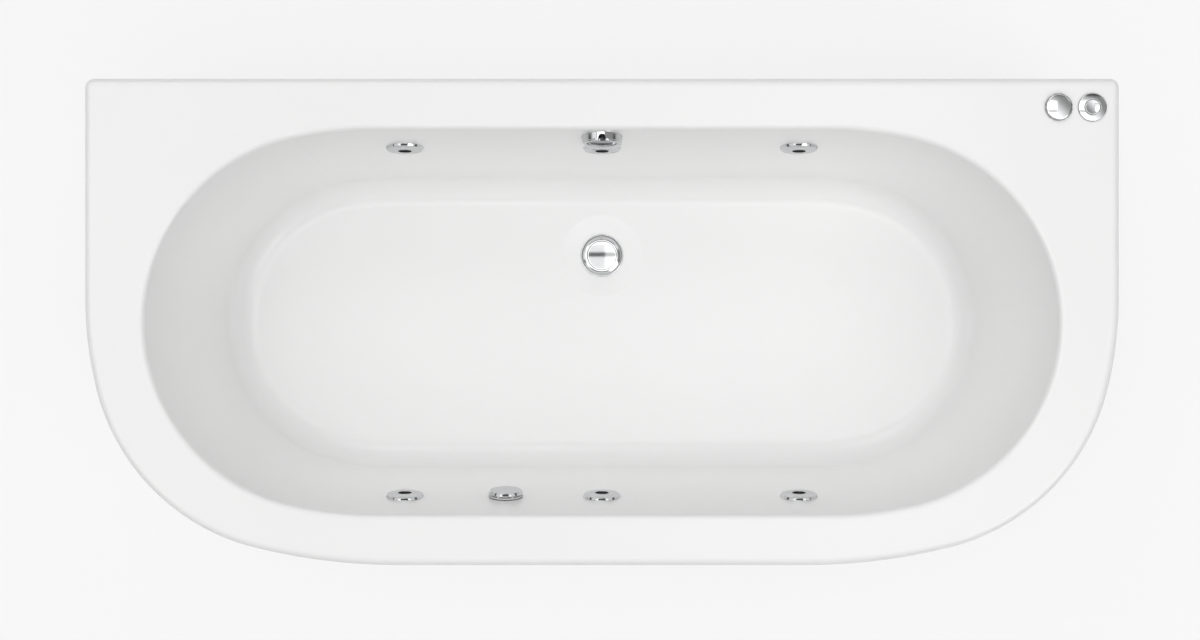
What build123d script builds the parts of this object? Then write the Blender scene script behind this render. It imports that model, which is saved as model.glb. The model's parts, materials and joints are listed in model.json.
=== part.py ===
from build123d import *
import math
import os

# A D-shaped, double-ended, back-to-wall bath with water jets, in millimetres.
# The origin is on the floor under the middle of the rim. +X runs along the bath,
# +Y points at the room's wall and +Z is up. The curved front faces -Y.

# Rim
rim_length = 1700.0
rim_depth = 800.0
rim_height = 580.0
skin = 5.0
lip_height = 40.0
rim_edge_radius = 12.0
back_corner_radius = 15.0
side_turn_radius = 620.0
corner_radius = 357.0
front_turn_radius = 980.0
gentle_turn = 14.0

# Well
end_deck = 97.0
side_deck = 83.0
well_depth = 375.0
well_end_length = 386.0
well_side_sweep = 12.3
side_lean = 10.5
end_lean = 15.5
floor_radius = 50.0
well_edge_radius = 9.0

# Waste dish in the floor
waste_y = 118.0
dish_radius = 72.0
dish_drop = 4.0

# Gaps: a fixed push fit, a hole around a thread, a turning or sliding fit, a seat
push_gap = 0.1
thread_gap = 0.3
run_gap = 0.05
seat_gap = 0.3

# Wall fittings: jets and suction
jet_end_gap = 35.0
jet_depth = 122.0
jet_cap_radius = 31.0
jet_cap_side = 4.2
jet_cap_crown = 3.0
jet_eye_radius = 11.3
jet_ball_radius = 15.5
jet_ball_depth = 5.0
jet_ball_front = 8.6
jet_nozzle_radius = 5.2
jet_barrel_length = 46.0
fitting_thread_radius = 22.6
fitting_bore_radius = 20.0
fitting_flange_radius = 28.4
fitting_flange_thickness = 1.9
gasket_thickness = 1.4
fitting_nut_height = 8.0
fitting_nut_flats = 58.0
branch_back = 30.0
water_drop = 44.0
water_spigot_length = 38.0
air_rise = 30.0
air_spigot_length = 26.0
suction_x = -162.0
suction_cap_radius = 28.0
suction_cap_height = 5.4
suction_cap_lift = 2.6
suction_reach = 70.0
suction_spigot_length = 52.0

# Water and air lines
water_spigot_radius = 13.0
water_bore_radius = 10.2
water_pipe_wall = 2.8
suction_spigot_radius = 16.0
suction_bore_radius = 13.0
air_spigot_radius = 4.2
air_bore_radius = 2.7
air_neck_radius = 6.0
air_hose_wall = 1.6
pipe_grip = 23.0
air_grip = 18.0

# Overflow and pop-up waste
overflow_depth = 50.0
overflow_knob_radius = 34.0
overflow_knob_height = 14.0
overflow_notch_width = 13.0
overflow_notch_depth = 10.5
overflow_shaft_radius = 5.0
overflow_spigot_radius = 17.0
overflow_pipe_wall = 1.9
overflow_pipe_from_back = 29.0
drain_hole_radius = 26.0
drain_tail_gap = 0.3
flange_radius = 38.0
flange_height = 2.2
plug_radius = 34.0
plug_face_radius = 25.4
plug_height = 4.4
plug_crown = 1.3
plug_stem_radius = 4.0
plug_stem_length = 46.0
drain_seal_thickness = 2.0
waste_cup_radius = 31.0
waste_cup_length = 92.0
overflow_port_drop = 74.0
trap_cup_radius = 36.0
trap_cup_height = 48.0
trap_pipe_radius = 20.0
trap_socket_gap = 0.15
trap_socket_length = 36.0
cable_radius = 2.5
cable_x = 26.0
cable_from_back = 50.0
cable_drop = 63.0
cable_bend = 70.0

# Deck controls
control_from_back = 47.5
air_control_from_end = 101.0
switch_from_end = 45.5
control_thread_radius = 18.2
control_flange_radius = 20.5
control_flange_thickness = 2.0
control_body_length = 52.0
control_nut_flats = 46.0
control_nut_height = 8.0
air_knob_radius = 22.6
air_knob_height = 8.5
air_knob_notch_radius = 2.2
air_stem_radius = 5.0
air_spigot_spacing = 16.0
switch_bezel_radius = 23.0
switch_bezel_height = 4.2
switch_button_radius = 12.6
switch_button_height = 5.6
switch_tube_radius = 2.4

# Pump
pump_from_end = 112.0
pump_y = -60.0
pump_axis_height = 76.0
volute_radius = 50.0
volute_growth = 3.0
volute_width = 52.0
volute_wall = 4.0
discharge_height = 84.0
impeller_radius = 42.0
impeller_blades = 6
inlet_length = 38.0
shaft_radius = 7.0
bearing_radius = 17.0
bearing_width = 11.0
rotor_radius = 31.0
rotor_length = 92.0
motor_radius = 57.0
fin_height = 5.0
fin_count = 22
motor_length = 176.0
cowl_length = 36.0
fan_radius = 47.0
fan_blades = 8
terminal_box_height = 38.0

# Frame, board and feet
board_from_end = 275.0
board_width = 408.0
board_thickness = 18.0
board_corner_radius = 102.0
board_dish_gap = 3.0
tube_size = 30.0
tube_wall = 2.0
rail_spacing = 360.0
rail_from_end = 205.0
cross_pitch = 400.0
shelf_drop = 72.0
shelf_thickness = 3.0
shelf_width = 400.0
shelf_overlap = 42.0
shelf_front_cut = 50.0
shelf_lip_height = 12.0
foot_from_end = 290.0
foot_rod_radius = 6.0
foot_pad_radius = 25.0
foot_pad_height = 14.0
foot_pad_edge = 4.0
foot_pad_neck = 11.0
foot_nut_height = 10.0
foot_nut_flats = 19.0
foot_nut_gap = 1.0

# Apron panel and rim battens
panel_setback = 3.0
panel_thickness = 4.0
panel_floor_gap = 4.0
panel_top_gap = 1.0
panel_return = 22.0
batten_thickness = 18.0
batten_end_gap = 2.0
batten_from_end = 60.0
batten_control_gap = 62.5
batten_valve_gap = 87.0

# Routes of the pipes and hoses
tee_half = 34.0
tee_drop = 42.0
tee_wall = 3.0
tee_socket_depth = 24.0
union_depth = 24.0
union_rise = 14.0
union_wall = 3.5
manifold_back_bend = 130.0
manifold_front_bends = (90.0, 110.0)
manifold_front_start = 64.0
manifold_front_run = 150.0
suction_bends = (80.0, 130.0, 50.0)
suction_turn_room = 82.0
suction_turn_run = 238.0
hose_stop = 4.0
back_air_bends = (22.0, 120.0)
back_air_run = 220.0
front_air_bends = (28.0, 60.0, 110.0, 110.0)
front_air_side_shift = 33.0
front_air_back_run = 152.5
front_air_front_run = 219.35
front_air_jet_run = 270.0
front_air_sag = 16.0
tube_bends = (40.0, 150.0, 100.0, 40.0)
tube_drop = 230.0
tube_wall_gap = 1.5
tube_from_end = 430.0
tube_pump_run = 98.0
overflow_bend = 75.0

# Worked-out places
half_length = rim_length / 2
half_depth = rim_depth / 2
well_length = rim_length - 2 * end_deck
well_width = rim_depth - 2 * side_deck
well_straight = well_length - 2 * well_end_length
jet_pitch = well_straight / 2 - jet_end_gap
floor_z = rim_height - well_depth
board_top = floor_z - skin
rail_top = board_top - board_thickness
rail_bottom = rail_top - tube_size
shelf_top = rail_bottom - shelf_drop
pump_x = pump_from_end - half_length
pump_z = shelf_top + pump_axis_height
board_length = rim_length - 2 * board_from_end
rail_length = rim_length - 2 * rail_from_end
foot_x = half_length - foot_from_end
control_y = half_depth - control_from_back
air_control_x = half_length - air_control_from_end
switch_x = half_length - switch_from_end
overflow_pipe_y = half_depth - overflow_pipe_from_back
cable_y = half_depth - cable_from_back
cable_low_z = floor_z - cable_drop
panel_top = rim_height - lip_height - panel_top_gap
water_pipe_radius = water_spigot_radius + push_gap + water_pipe_wall
suction_pipe_radius = suction_spigot_radius + push_gap + water_pipe_wall
air_hose_radius = air_spigot_radius + push_gap + air_hose_wall
overflow_pipe_radius = overflow_spigot_radius + push_gap + overflow_pipe_wall
discharge_x = volute_radius + 4 * volute_growth - suction_spigot_radius
fitting_top = gasket_thickness + push_gap + fitting_flange_thickness


def sin(degrees):
    return math.sin(math.radians(degrees))


def cos(degrees):
    return math.cos(math.radians(degrees))


def tan(degrees):
    return math.tan(math.radians(degrees))


# Outlines


def front_corner(inset):
    """Break points and mid points of the right front corner, from the side to the front."""
    sweeps = (gentle_turn, 90 - 2 * gentle_turn, gentle_turn)
    radii = (side_turn_radius, corner_radius, front_turn_radius)
    drop, turned = 0.0, 0.0
    for radius, sweep in zip(radii, sweeps):
        drop += radius * (sin(turned + sweep) - sin(turned))
        turned += sweep
    x, y = half_length, drop - half_depth
    points, turned = [(x - inset, y)], 0.0
    for radius, sweep in zip(radii, sweeps):
        centre_x, centre_y = x - radius * cos(turned), y + radius * sin(turned)
        for angle in (turned + sweep / 2, turned + sweep):
            reach = radius - inset
            points.append((centre_x + reach * cos(angle), centre_y - reach * sin(angle)))
        turned += sweep
        x, y = centre_x + radius * cos(turned), centre_y - radius * sin(turned)
    return points


def rim_face(inset, z):
    """The D-shaped outline of the rim, drawn in by inset, as a flat face at height z."""
    right = front_corner(inset)
    left = [(-x, y) for x, y in reversed(right)]
    side, back = half_length - inset, half_depth - inset
    small = max(back_corner_radius - inset, 1.0)
    bend = small * (1 - cos(45))
    chain = [
        Line((-side + small, back), (side - small, back)),
        ThreePointArc((side - small, back), (side - bend, back - bend), (side, back - small)),
        Line((side, back - small), right[0]),
    ]
    chain += [ThreePointArc(*right[i : i + 3]) for i in (0, 2, 4)]
    chain.append(Line(right[6], left[0]))
    chain += [ThreePointArc(*left[i : i + 3]) for i in (0, 2, 4)]
    chain += [
        Line(left[6], (-side, back - small)),
        ThreePointArc((-side, back - small), (bend - side, back - bend), (small - side, back)),
    ]
    return Pos(0, 0, z) * make_face(chain)


def oval_face(half_l, half_w, z):
    """The well's oval section: flat sides, a gentle arc, then a round end."""
    s, c = sin(well_side_sweep), cos(well_side_sweep)
    flat = well_straight / 2
    det = (1 - c) * (1 - s) - c * s
    side_r = (half_w * (1 - s) - c * (half_l - flat)) / det
    end_r = ((1 - c) * (half_l - flat) - s * half_w) / det
    middle = well_side_sweep / 2
    start = (flat, half_w)
    bow = (flat + side_r * sin(middle), half_w - side_r * (1 - cos(middle)))
    turn = (flat + side_r * s, half_w - side_r * (1 - c))

    def at(point, sx, sy):
        return (sx * point[0], sy * point[1])

    chain = [
        Line(at(start, -1, 1), start),
        ThreePointArc(start, bow, turn),
        ThreePointArc(turn, (half_l, 0), at(turn, 1, -1)),
        ThreePointArc(at(turn, 1, -1), at(bow, 1, -1), at(start, 1, -1)),
        Line(at(start, 1, -1), at(start, -1, -1)),
        ThreePointArc(at(start, -1, -1), at(bow, -1, -1), at(turn, -1, -1)),
        ThreePointArc(at(turn, -1, -1), (-half_l, 0), at(turn, -1, 1)),
        ThreePointArc(at(turn, -1, 1), at(bow, -1, 1), at(start, -1, 1)),
    ]
    return Pos(0, 0, z) * make_face(chain)


def well_body(offset):
    """The well as a solid: the water side with no offset, or the outer skin."""

    def section(z):
        down = rim_height - z
        half_l = well_length / 2 - down * tan(end_lean) + offset / cos(end_lean)
        half_w = well_width / 2 - down * tan(side_lean) + offset / cos(side_lean)
        return oval_face(half_l, half_w, z)

    body = loft([section(floor_z - offset), section(rim_height)], ruled=True)
    return fillet(body.edges().group_by(Axis.Z)[0], floor_radius + offset)


# Frames that fittings are built on, and turned shapes


def wall_frame(x, depth, side):
    """A frame on the well's long wall: z into the bath, y up the wall. side is 1 at the back."""
    y = side * (well_width / 2 - depth * tan(side_lean))
    inward = (0, -side * cos(side_lean), sin(side_lean))
    return Plane((x, y, rim_height - depth), x_dir=(side, 0, 0), z_dir=inward)


def jet_places():
    """Name and frame of each jet: back row, then front row."""
    rows = (("back", 1), ("front", -1))
    spots = (("left", -1), ("middle", 0), ("right", 1))
    return [
        (f"{row}_{spot}", wall_frame(step * jet_pitch, jet_depth, side))
        for row, side in rows
        for spot, step in spots
    ]


def turned(*steps):
    """A solid of revolution about Z. Each step is a point (r, z), or a pair of points for an arc."""
    first = steps[0]
    here, edges = first, []
    for step in [*steps[1:], first]:
        if isinstance(step[0], tuple):
            mid, end = step
            edges.append(ThreePointArc((here[0], 0, here[1]), (mid[0], 0, mid[1]), (end[0], 0, end[1])))
        else:
            end = step
            if math.dist(here, end) > 1e-6:
                edges.append(Line((here[0], 0, here[1]), (end[0], 0, end[1])))
        here = end
    return revolve(make_face(edges), Axis.Z)


def dome(radius, low, rise):
    """The last step of a turned profile: a domed top that meets the axis squarely."""
    sphere = (radius**2 + rise**2) / (2 * rise)
    half = math.asin(radius / sphere) / 2
    middle = (sphere * math.sin(half), low + rise - sphere * (1 - math.cos(half)))
    return middle, (0, low + rise)


def ring(inner, outer, low, high):
    """A plain ring about Z."""
    return turned((inner, low), (outer, low), (outer, high), (inner, high))


def rod(radius, low, high):
    """A plain cylinder about Z."""
    return Pos(0, 0, low) * Cylinder(radius, high - low, align=(Align.CENTER, Align.CENTER, Align.MIN))


def rod_between(radius, start, end):
    """A cylinder from one point to another."""
    way = Vector(*end) - Vector(*start)
    return Plane(start, z_dir=way).location * rod(radius, 0, way.length)


def placed(frame, shape):
    return frame.location * shape


def world(frame, x, y, z):
    """A point given in a frame, as the world's coordinates."""
    return tuple(frame.from_local_coords(Vector(x, y, z)))


def hex_ring(inner, flats, low, high):
    """A hexagon nut about Z."""
    outline = RegularPolygon(flats / 2 / cos(30), 6)
    return Pos(0, 0, low) * extrude(outline, high - low) - rod(inner, low - 1, high + 1)


def box(x, y, z):
    """A box from (low, high) pairs."""
    size = [high - low for low, high in (x, y, z)]
    centre = [(high + low) / 2 for low, high in (x, y, z)]
    return Pos(*centre) * Box(*size)


# Places of the fittings


def suction_frame():
    return wall_frame(suction_x, jet_depth, -1)


def overflow_frame():
    return wall_frame(0, overflow_depth, 1)


def waste_frame():
    return Plane((0, waste_y, floor_z - dish_drop))


def air_control_frame():
    return Plane((air_control_x, control_y, rim_height))


def switch_frame():
    return Plane((switch_x, control_y, rim_height))


def pump_frame():
    """z runs from the wet end to the fan, y is up."""
    return Plane((pump_x, pump_y, pump_z), x_dir=(-1, 0, 0), z_dir=(0, 1, 0))


# Tub, board, battens and apron


def bath_shell():
    low = rim_height - lip_height
    block = extrude(rim_face(0, low), lip_height)
    block = fillet(block.edges().group_by(Axis.Z)[-1], rim_edge_radius)
    hollow = extrude(rim_face(skin, low), lip_height - skin)
    hollow = fillet(hollow.edges().group_by(Axis.Z)[-1], rim_edge_radius - skin)
    body = block - hollow + well_body(skin) - well_body(0)
    inner = [
        edge
        for edge in body.edges().group_by(Axis.Z)[-1]
        if abs(edge.center().Y) < well_width / 2 + 1 and abs(edge.center().X) < well_length / 2 + 1
    ]
    body = fillet(inner, well_edge_radius)
    body += Pos(0, waste_y, 0) * rod(dish_radius + skin, board_top - dish_drop, board_top)
    dish = turned(
        (0, -dish_drop), (flange_radius + 1, -dish_drop), (dish_radius, 0), (dish_radius, 1), (0, 1)
    )
    body -= Pos(0, waste_y, floor_z) * dish
    body -= Pos(0, waste_y, 0) * rod(drain_hole_radius, board_top - 2 * skin, floor_z + 1)
    reach = 4 * skin
    fitting_hole = rod(fitting_thread_radius + thread_gap, -reach, reach)
    for _, frame in jet_places():
        body -= placed(frame, fitting_hole)
    body -= placed(suction_frame(), fitting_hole)
    body -= placed(overflow_frame(), rod(drain_hole_radius, -reach, reach))
    for frame in (air_control_frame(), switch_frame()):
        body -= placed(frame, rod(control_thread_radius + thread_gap, -reach, reach))
    return body


def base_board():
    outline = RectangleRounded(board_length, board_width, board_corner_radius)
    board = Pos(0, 0, rail_top) * extrude(outline, board_thickness)
    room = dish_radius + skin + board_dish_gap
    board -= Pos(0, waste_y, 0) * rod(room, rail_top - 1, board_top + 1)
    return board - box((-room, room), (waste_y, board_width), (rail_top - 1, board_top + 1))


def rim_battens():
    """Wooden strips under the rim, behind the lip. The apron's top flange is screwed to three of them."""
    low, high = panel_top + seat_gap, rim_height - skin
    edge = rim_edge_radius + seat_gap
    straight = front_corner(edge)[6][0] - batten_end_gap
    side_start = front_corner(edge)[0][1] + batten_end_gap
    right = half_length - edge
    back = half_depth - edge
    valve_side = air_control_x - batten_valve_gap
    left_end, right_end = half_depth - batten_from_end, control_y - batten_control_gap
    strips = [
        box((batten_from_end - half_length, valve_side), (back - batten_thickness, back), (low, high)),
        box((-straight, straight), (-back, batten_thickness - back), (low, high)),
        box((-right, batten_thickness - right), (side_start, left_end), (low, high)),
        box((right - batten_thickness, right), (side_start, right_end), (low, high)),
    ]
    return Compound(children=strips)


def apron_panel():
    """A one-piece surround: the front and both sides, with a flange along the top."""
    skin_face = rim_face(panel_setback, panel_floor_gap) - rim_face(
        panel_setback + panel_thickness, panel_floor_gap
    )
    wall = extrude(skin_face, panel_top - panel_floor_gap)
    flange_low = panel_top - panel_thickness
    flange_face = rim_face(panel_setback, flange_low) - rim_face(panel_setback + panel_return, flange_low)
    body = wall + extrude(flange_face, panel_thickness)
    behind = half_depth - back_corner_radius
    body -= box((-half_length, half_length), (behind, half_depth + 1), (0, rim_height))
    inside = half_length - panel_return
    return body - box((-inside, inside), (behind - panel_return, behind + 1), (0, rim_height))


# Steel frame and feet


def square_tube(length, start, along):
    """A square steel tube, open at both ends, centred on start, running along X or Y."""
    outer, inner = tube_size, tube_size - 2 * tube_wall
    if along == "x":
        tube = Box(length, outer, outer) - Box(length + 2, inner, inner)
    else:
        tube = Box(outer, length, outer) - Box(inner, length + 2, inner)
    return Pos(*start) * tube


def foot_places():
    rows = (("front", -1), ("back", 1))
    ends = (("left", -1), ("right", 1))
    return [
        (f"{row}_{end}", (x_side * foot_x, y_side * rail_spacing / 2))
        for row, y_side in rows
        for end, x_side in ends
    ]


def cradle_frame():
    z = rail_top - tube_size / 2
    y = rail_spacing / 2
    frame = square_tube(rail_length, (0, -y, z), "x") + square_tube(rail_length, (0, y, z), "x")
    for x in (-cross_pitch, cross_pitch):
        frame += square_tube(rail_spacing - tube_size, (x, 0, z), "y")
    for _, (x, y) in foot_places():
        frame -= Pos(x, y, 0) * rod(foot_rod_radius + thread_gap, rail_bottom - 1, rail_bottom + tube_size / 2)
    return frame


def pump_shelf():
    """A bent steel plate: a flange under the rails, a drop, and the tray the pump stands on."""
    rail_end = -rail_length / 2
    y = (-shelf_width / 2, shelf_width / 2)
    tray_end = pump_x - motor_radius - fin_height
    flange = box((rail_end, rail_end + shelf_overlap), y, (rail_bottom - shelf_thickness, rail_bottom))
    drop = box((rail_end - shelf_thickness, rail_end), y, (shelf_top - shelf_thickness, rail_bottom))
    tray_y = (shelf_front_cut - shelf_width / 2, y[1])
    tray = box((tray_end, rail_end), tray_y, (shelf_top - shelf_thickness, shelf_top))
    lip = box((tray_end, tray_end + shelf_thickness), tray_y, (shelf_top - 1, shelf_top + shelf_lip_height))
    return flange + drop + tray + lip


def levelling_foot():
    """A threaded rod with its swaged pad. The origin is on the floor under it."""
    hollow = ((foot_pad_radius + foot_pad_neck) / 2 - 2, (foot_pad_edge + foot_pad_height) / 2 - 1.5)
    pad = turned(
        (0, 0),
        (foot_pad_radius, 0),
        (foot_pad_radius, foot_pad_edge),
        (hollow, (foot_pad_neck, foot_pad_height)),
        (0, foot_pad_height),
    )
    return pad + rod(foot_rod_radius, foot_pad_height - 1, rail_bottom + tube_size - 2 * tube_wall)


def foot_nuts():
    """A weld nut under the rail and a lock nut below it, for each foot."""
    hole = foot_rod_radius + run_gap
    weld_low = rail_bottom - foot_nut_height
    lock_low = weld_low - foot_nut_height - foot_nut_gap
    nuts = []
    for _, (x, y) in foot_places():
        nuts.append(Pos(x, y, 0) * hex_ring(hole, foot_nut_flats, weld_low, rail_bottom))
        nuts.append(Pos(x, y, 0) * hex_ring(hole, foot_nut_flats, lock_low, lock_low + foot_nut_height))
    return Compound(children=nuts)


# Side jets and suction


def fitting_shell(depth):
    """A flanged barrel that passes through the bath wall, closed at its far end."""
    low = gasket_thickness + push_gap
    return turned(
        (0, -depth),
        (fitting_thread_radius - 1.5, -depth),
        (fitting_thread_radius, 1.5 - depth),
        (fitting_thread_radius, low),
        (fitting_flange_radius, low),
        (fitting_flange_radius, fitting_top),
        (0, fitting_top),
    )


def side_run(radius, sides, length, y):
    """A straight run along x behind a jet, out to the given sides."""
    low = -length if -1 in sides else 0
    high = length if 1 in sides else 0
    return rod_between(radius, (low, y, -branch_back), (high, y, -branch_back))


def jet_body(water_sides, air_sides):
    """The jet behind the wall: barrel, water line below and air line above, open at the given sides."""
    body = fitting_shell(jet_barrel_length)
    water_y, z = -water_drop, -branch_back
    body += rod_between(water_spigot_radius, (0, 0, z), (0, water_y, z))
    body += Pos(0, water_y, z) * Sphere(water_spigot_radius + 1.5)
    body += side_run(water_spigot_radius, water_sides, water_spigot_length, water_y)
    body += rod_between(air_neck_radius, (0, 0, z), (0, air_rise, z))
    body += Pos(0, air_rise, z) * Sphere(air_neck_radius + 1)
    body += side_run(air_spigot_radius, air_sides, air_spigot_length, air_rise)
    body -= rod(fitting_bore_radius, 4 - jet_barrel_length, fitting_top + 1)
    body -= rod_between(water_bore_radius - 0.5, (0, 0, z), (0, water_y + 3, z))
    body -= side_run(water_bore_radius, water_sides, water_spigot_length + 1, water_y)
    body -= rod_between(air_bore_radius - 0.3, (0, 0, z), (0, air_rise - 1, z))
    return body - side_run(air_bore_radius, air_sides, air_spigot_length + 1, air_rise)


def jet_lines():
    """For each jet, the local sides its water and air lines leave by. Water comes from the left."""
    lines = []
    for name, frame in jet_places():
        left = -1 if "back" in name else 1
        water = [left] if "right" in name else [left, -left]
        air = [-left] if "left" in name else [left, -left]
        lines.append((frame, water, air))
    return lines


def jet_bodies():
    return Compound(children=[placed(frame, jet_body(water, air)) for frame, water, air in jet_lines()])


def jet_cap():
    """The chrome ring that turns to set the flow. Its sleeve holds the eyeball in a round seat."""
    seat = jet_ball_radius + run_gap
    sleeve = fitting_bore_radius - run_gap
    under = fitting_top + seat_gap
    low, high = -jet_ball_depth - 11, -jet_ball_depth + math.sqrt(seat**2 - jet_eye_radius**2)
    low_r = math.sqrt(seat**2 - 11**2)
    top = jet_cap_side + jet_cap_crown
    rim_in = fitting_flange_radius + seat_gap
    shoulder = 0.6
    middle = (jet_cap_radius + jet_eye_radius) / 2
    return turned(
        (sleeve, low),
        (sleeve, under),
        (rim_in, under),
        (rim_in, seat_gap),
        (jet_cap_radius, seat_gap),
        (jet_cap_radius, jet_cap_side - shoulder),
        ((jet_cap_radius - 0.2, jet_cap_side - 0.2), (jet_cap_radius - shoulder, jet_cap_side)),
        ((middle, top - 0.7), (jet_eye_radius + shoulder, top)),
        ((jet_eye_radius + 0.2, top - 0.2), (jet_eye_radius, top - shoulder)),
        (jet_eye_radius, high),
        ((seat, -jet_ball_depth), (low_r, low)),
    )


def jet_eyeball():
    """A ball with a flat, hollowed front and a nozzle through it, tilted to aim the water."""
    ball = Sphere(jet_ball_radius) - rod(jet_ball_radius, jet_ball_front, jet_ball_radius + 1)
    ball -= rod(jet_nozzle_radius, -jet_ball_radius - 1, jet_ball_radius)
    ball -= rod(2 * jet_nozzle_radius, -jet_ball_radius - 1, -0.65 * jet_ball_radius)
    throat = turned(
        (0, jet_ball_front - 6),
        (jet_nozzle_radius, jet_ball_front - 6),
        (jet_eye_radius - 1.5, jet_ball_front - 1),
        (jet_eye_radius - 1.5, jet_ball_front + 1),
        (0, jet_ball_front + 1),
    )
    ball -= throat
    ball += ring(jet_nozzle_radius, jet_nozzle_radius + 1.5, jet_ball_front - 7, jet_ball_front - 2)
    return Pos(0, 0, -jet_ball_depth) * ball


def fitting_gaskets():
    flat = ring(fitting_thread_radius + thread_gap, fitting_flange_radius, 0, gasket_thickness)
    frames = [frame for _, frame in jet_places()] + [suction_frame()]
    return Compound(children=[placed(frame, flat) for frame in frames])


def fitting_nuts():
    high = -skin
    nut = hex_ring(fitting_thread_radius + push_gap, fitting_nut_flats, high - fitting_nut_height, high)
    frames = [frame for _, frame in jet_places()] + [suction_frame()]
    return Compound(children=[placed(frame, nut) for frame in frames])


def suction_body():
    """The suction fitting: a barrel, then an elbow that turns down behind it."""
    elbow = suction_bore_radius + 5
    down = (0, -suction_spigot_length, -suction_reach)
    body = fitting_shell(jet_barrel_length)
    body += rod(elbow, -suction_reach, 2 - jet_barrel_length)
    body += Pos(0, 0, -suction_reach) * Sphere(elbow)
    body += rod_between(suction_spigot_radius, (0, 0, -suction_reach), down)
    body -= rod(fitting_bore_radius, 4 - jet_barrel_length, fitting_top + 1)
    body -= rod(suction_bore_radius, -suction_reach, 0)
    body -= Pos(0, 0, -suction_reach) * Sphere(suction_bore_radius)
    body -= rod_between(suction_bore_radius, (0, 0, -suction_reach), (0, down[1] - 1, down[2]))
    return body


def suction_cover():
    """A plain round plate standing off the flange, so that water is drawn in all around its edge."""
    low = fitting_top + suction_cap_lift
    top = low + suction_cap_height
    plate = turned(
        (0, low),
        (suction_cap_radius, low),
        (suction_cap_radius, top - 1.2),
        ((suction_cap_radius - 0.4, top - 0.4), (suction_cap_radius - 1.2, top)),
        dome(suction_cap_radius - 1.2, top, 0.8),
    )
    post_place = fitting_bore_radius + 3.5
    for count in range(6):
        angle = 60 * count
        post = rod(2.4, fitting_top, low + 1)
        plate += Pos(post_place * cos(angle), post_place * sin(angle), 0) * post
    return plate


# Overflow and pop-up waste


def spider(bore, hub, rim, low, high):
    """Three spokes from a hub with a guide bore to a rim."""
    web = rod(hub, low, high)
    for count in range(3):
        angle = 90 + 120 * count
        middle = (low + high) / 2
        tip = (rim * cos(angle), rim * sin(angle), middle)
        web += rod_between(1.6, (0, 0, middle), tip)
    return web - rod(bore, low - 1, high + 1)


def waste_flange():
    tail = drain_hole_radius - drain_tail_gap
    seat = plug_radius + seat_gap
    body = turned(
        (tail - 3, -24),
        (tail, -24),
        (tail, 0),
        (flange_radius, 0),
        (flange_radius, 0.9),
        ((flange_radius - 0.5, 1.9), (flange_radius - 1.7, flange_height)),
        (seat, flange_height),
        (seat, 0.9),
        (tail - 3, 0.9),
    )
    return body + spider(plug_stem_radius + run_gap, 8, tail - 2, -22, -12)


def waste_plug():
    """The plug, shown shut: a flat middle, a fine groove and a rounded ring, on a guided stem."""
    low, top = 0.9 + seat_gap, plug_height
    face = plug_face_radius
    crown = (face + plug_radius) / 2
    disc = turned(
        (0, -plug_stem_length),
        (plug_stem_radius, -plug_stem_length),
        (plug_stem_radius, low),
        (plug_radius, low),
        (plug_radius, low + 1),
        ((crown + 2, top + plug_crown - 0.5), (face + 0.8, top + plug_crown - 0.6)),
        (face + 0.5, top - 0.8),
        (face, top - 0.8),
        (face - 0.4, top),
        (0, top),
    )
    return disc


def drain_seals():
    high = -skin
    washer = ring(drain_hole_radius + thread_gap, flange_radius, high - drain_seal_thickness, high)
    return Compound(children=[placed(waste_frame(), washer), placed(overflow_frame(), washer)])


def waste_body():
    """The cup under the floor, with a port for the overflow pipe and a tail for the trap."""
    top = -skin - drain_seal_thickness
    wall = 3
    tail = waste_cup_length + 22
    low = -waste_cup_length
    tail_r = trap_pipe_radius - 1
    body = turned(
        (tail_r - wall, -tail),
        (tail_r, -tail),
        (tail_r, low),
        (waste_cup_radius, low + 8),
        (waste_cup_radius, top - 6),
        (flange_radius, top - 4),
        (flange_radius, top),
        (drain_hole_radius, top),
        (drain_hole_radius, top - 20),
        (waste_cup_radius - wall, top - 22),
        (waste_cup_radius - wall, low + 10),
        (tail_r - wall, low + 2),
    )
    port_end = waste_cup_radius + 34
    low_port = (0, waste_cup_radius - 4, -overflow_port_drop)
    body += rod_between(overflow_spigot_radius, low_port, (0, port_end, -overflow_port_drop))
    body -= rod_between(
        overflow_spigot_radius - 2.5,
        (0, waste_cup_radius - wall - 6, -overflow_port_drop),
        (0, port_end + 1, -overflow_port_drop),
    )
    boss_z = dish_drop - cable_drop
    boss = rod_between(5, (cable_x, 14, boss_z), (cable_x, 42, boss_z))
    return body + (boss - rod(waste_cup_radius - 1, -90, 0))


def overflow_elbow():
    """The middle of the bend behind the overflow, as a point in the room."""
    frame = overflow_frame()
    back = (overflow_pipe_y - frame.origin.Y) / cos(side_lean)
    return Vector(*world(frame, 0, 0, -back))


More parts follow.
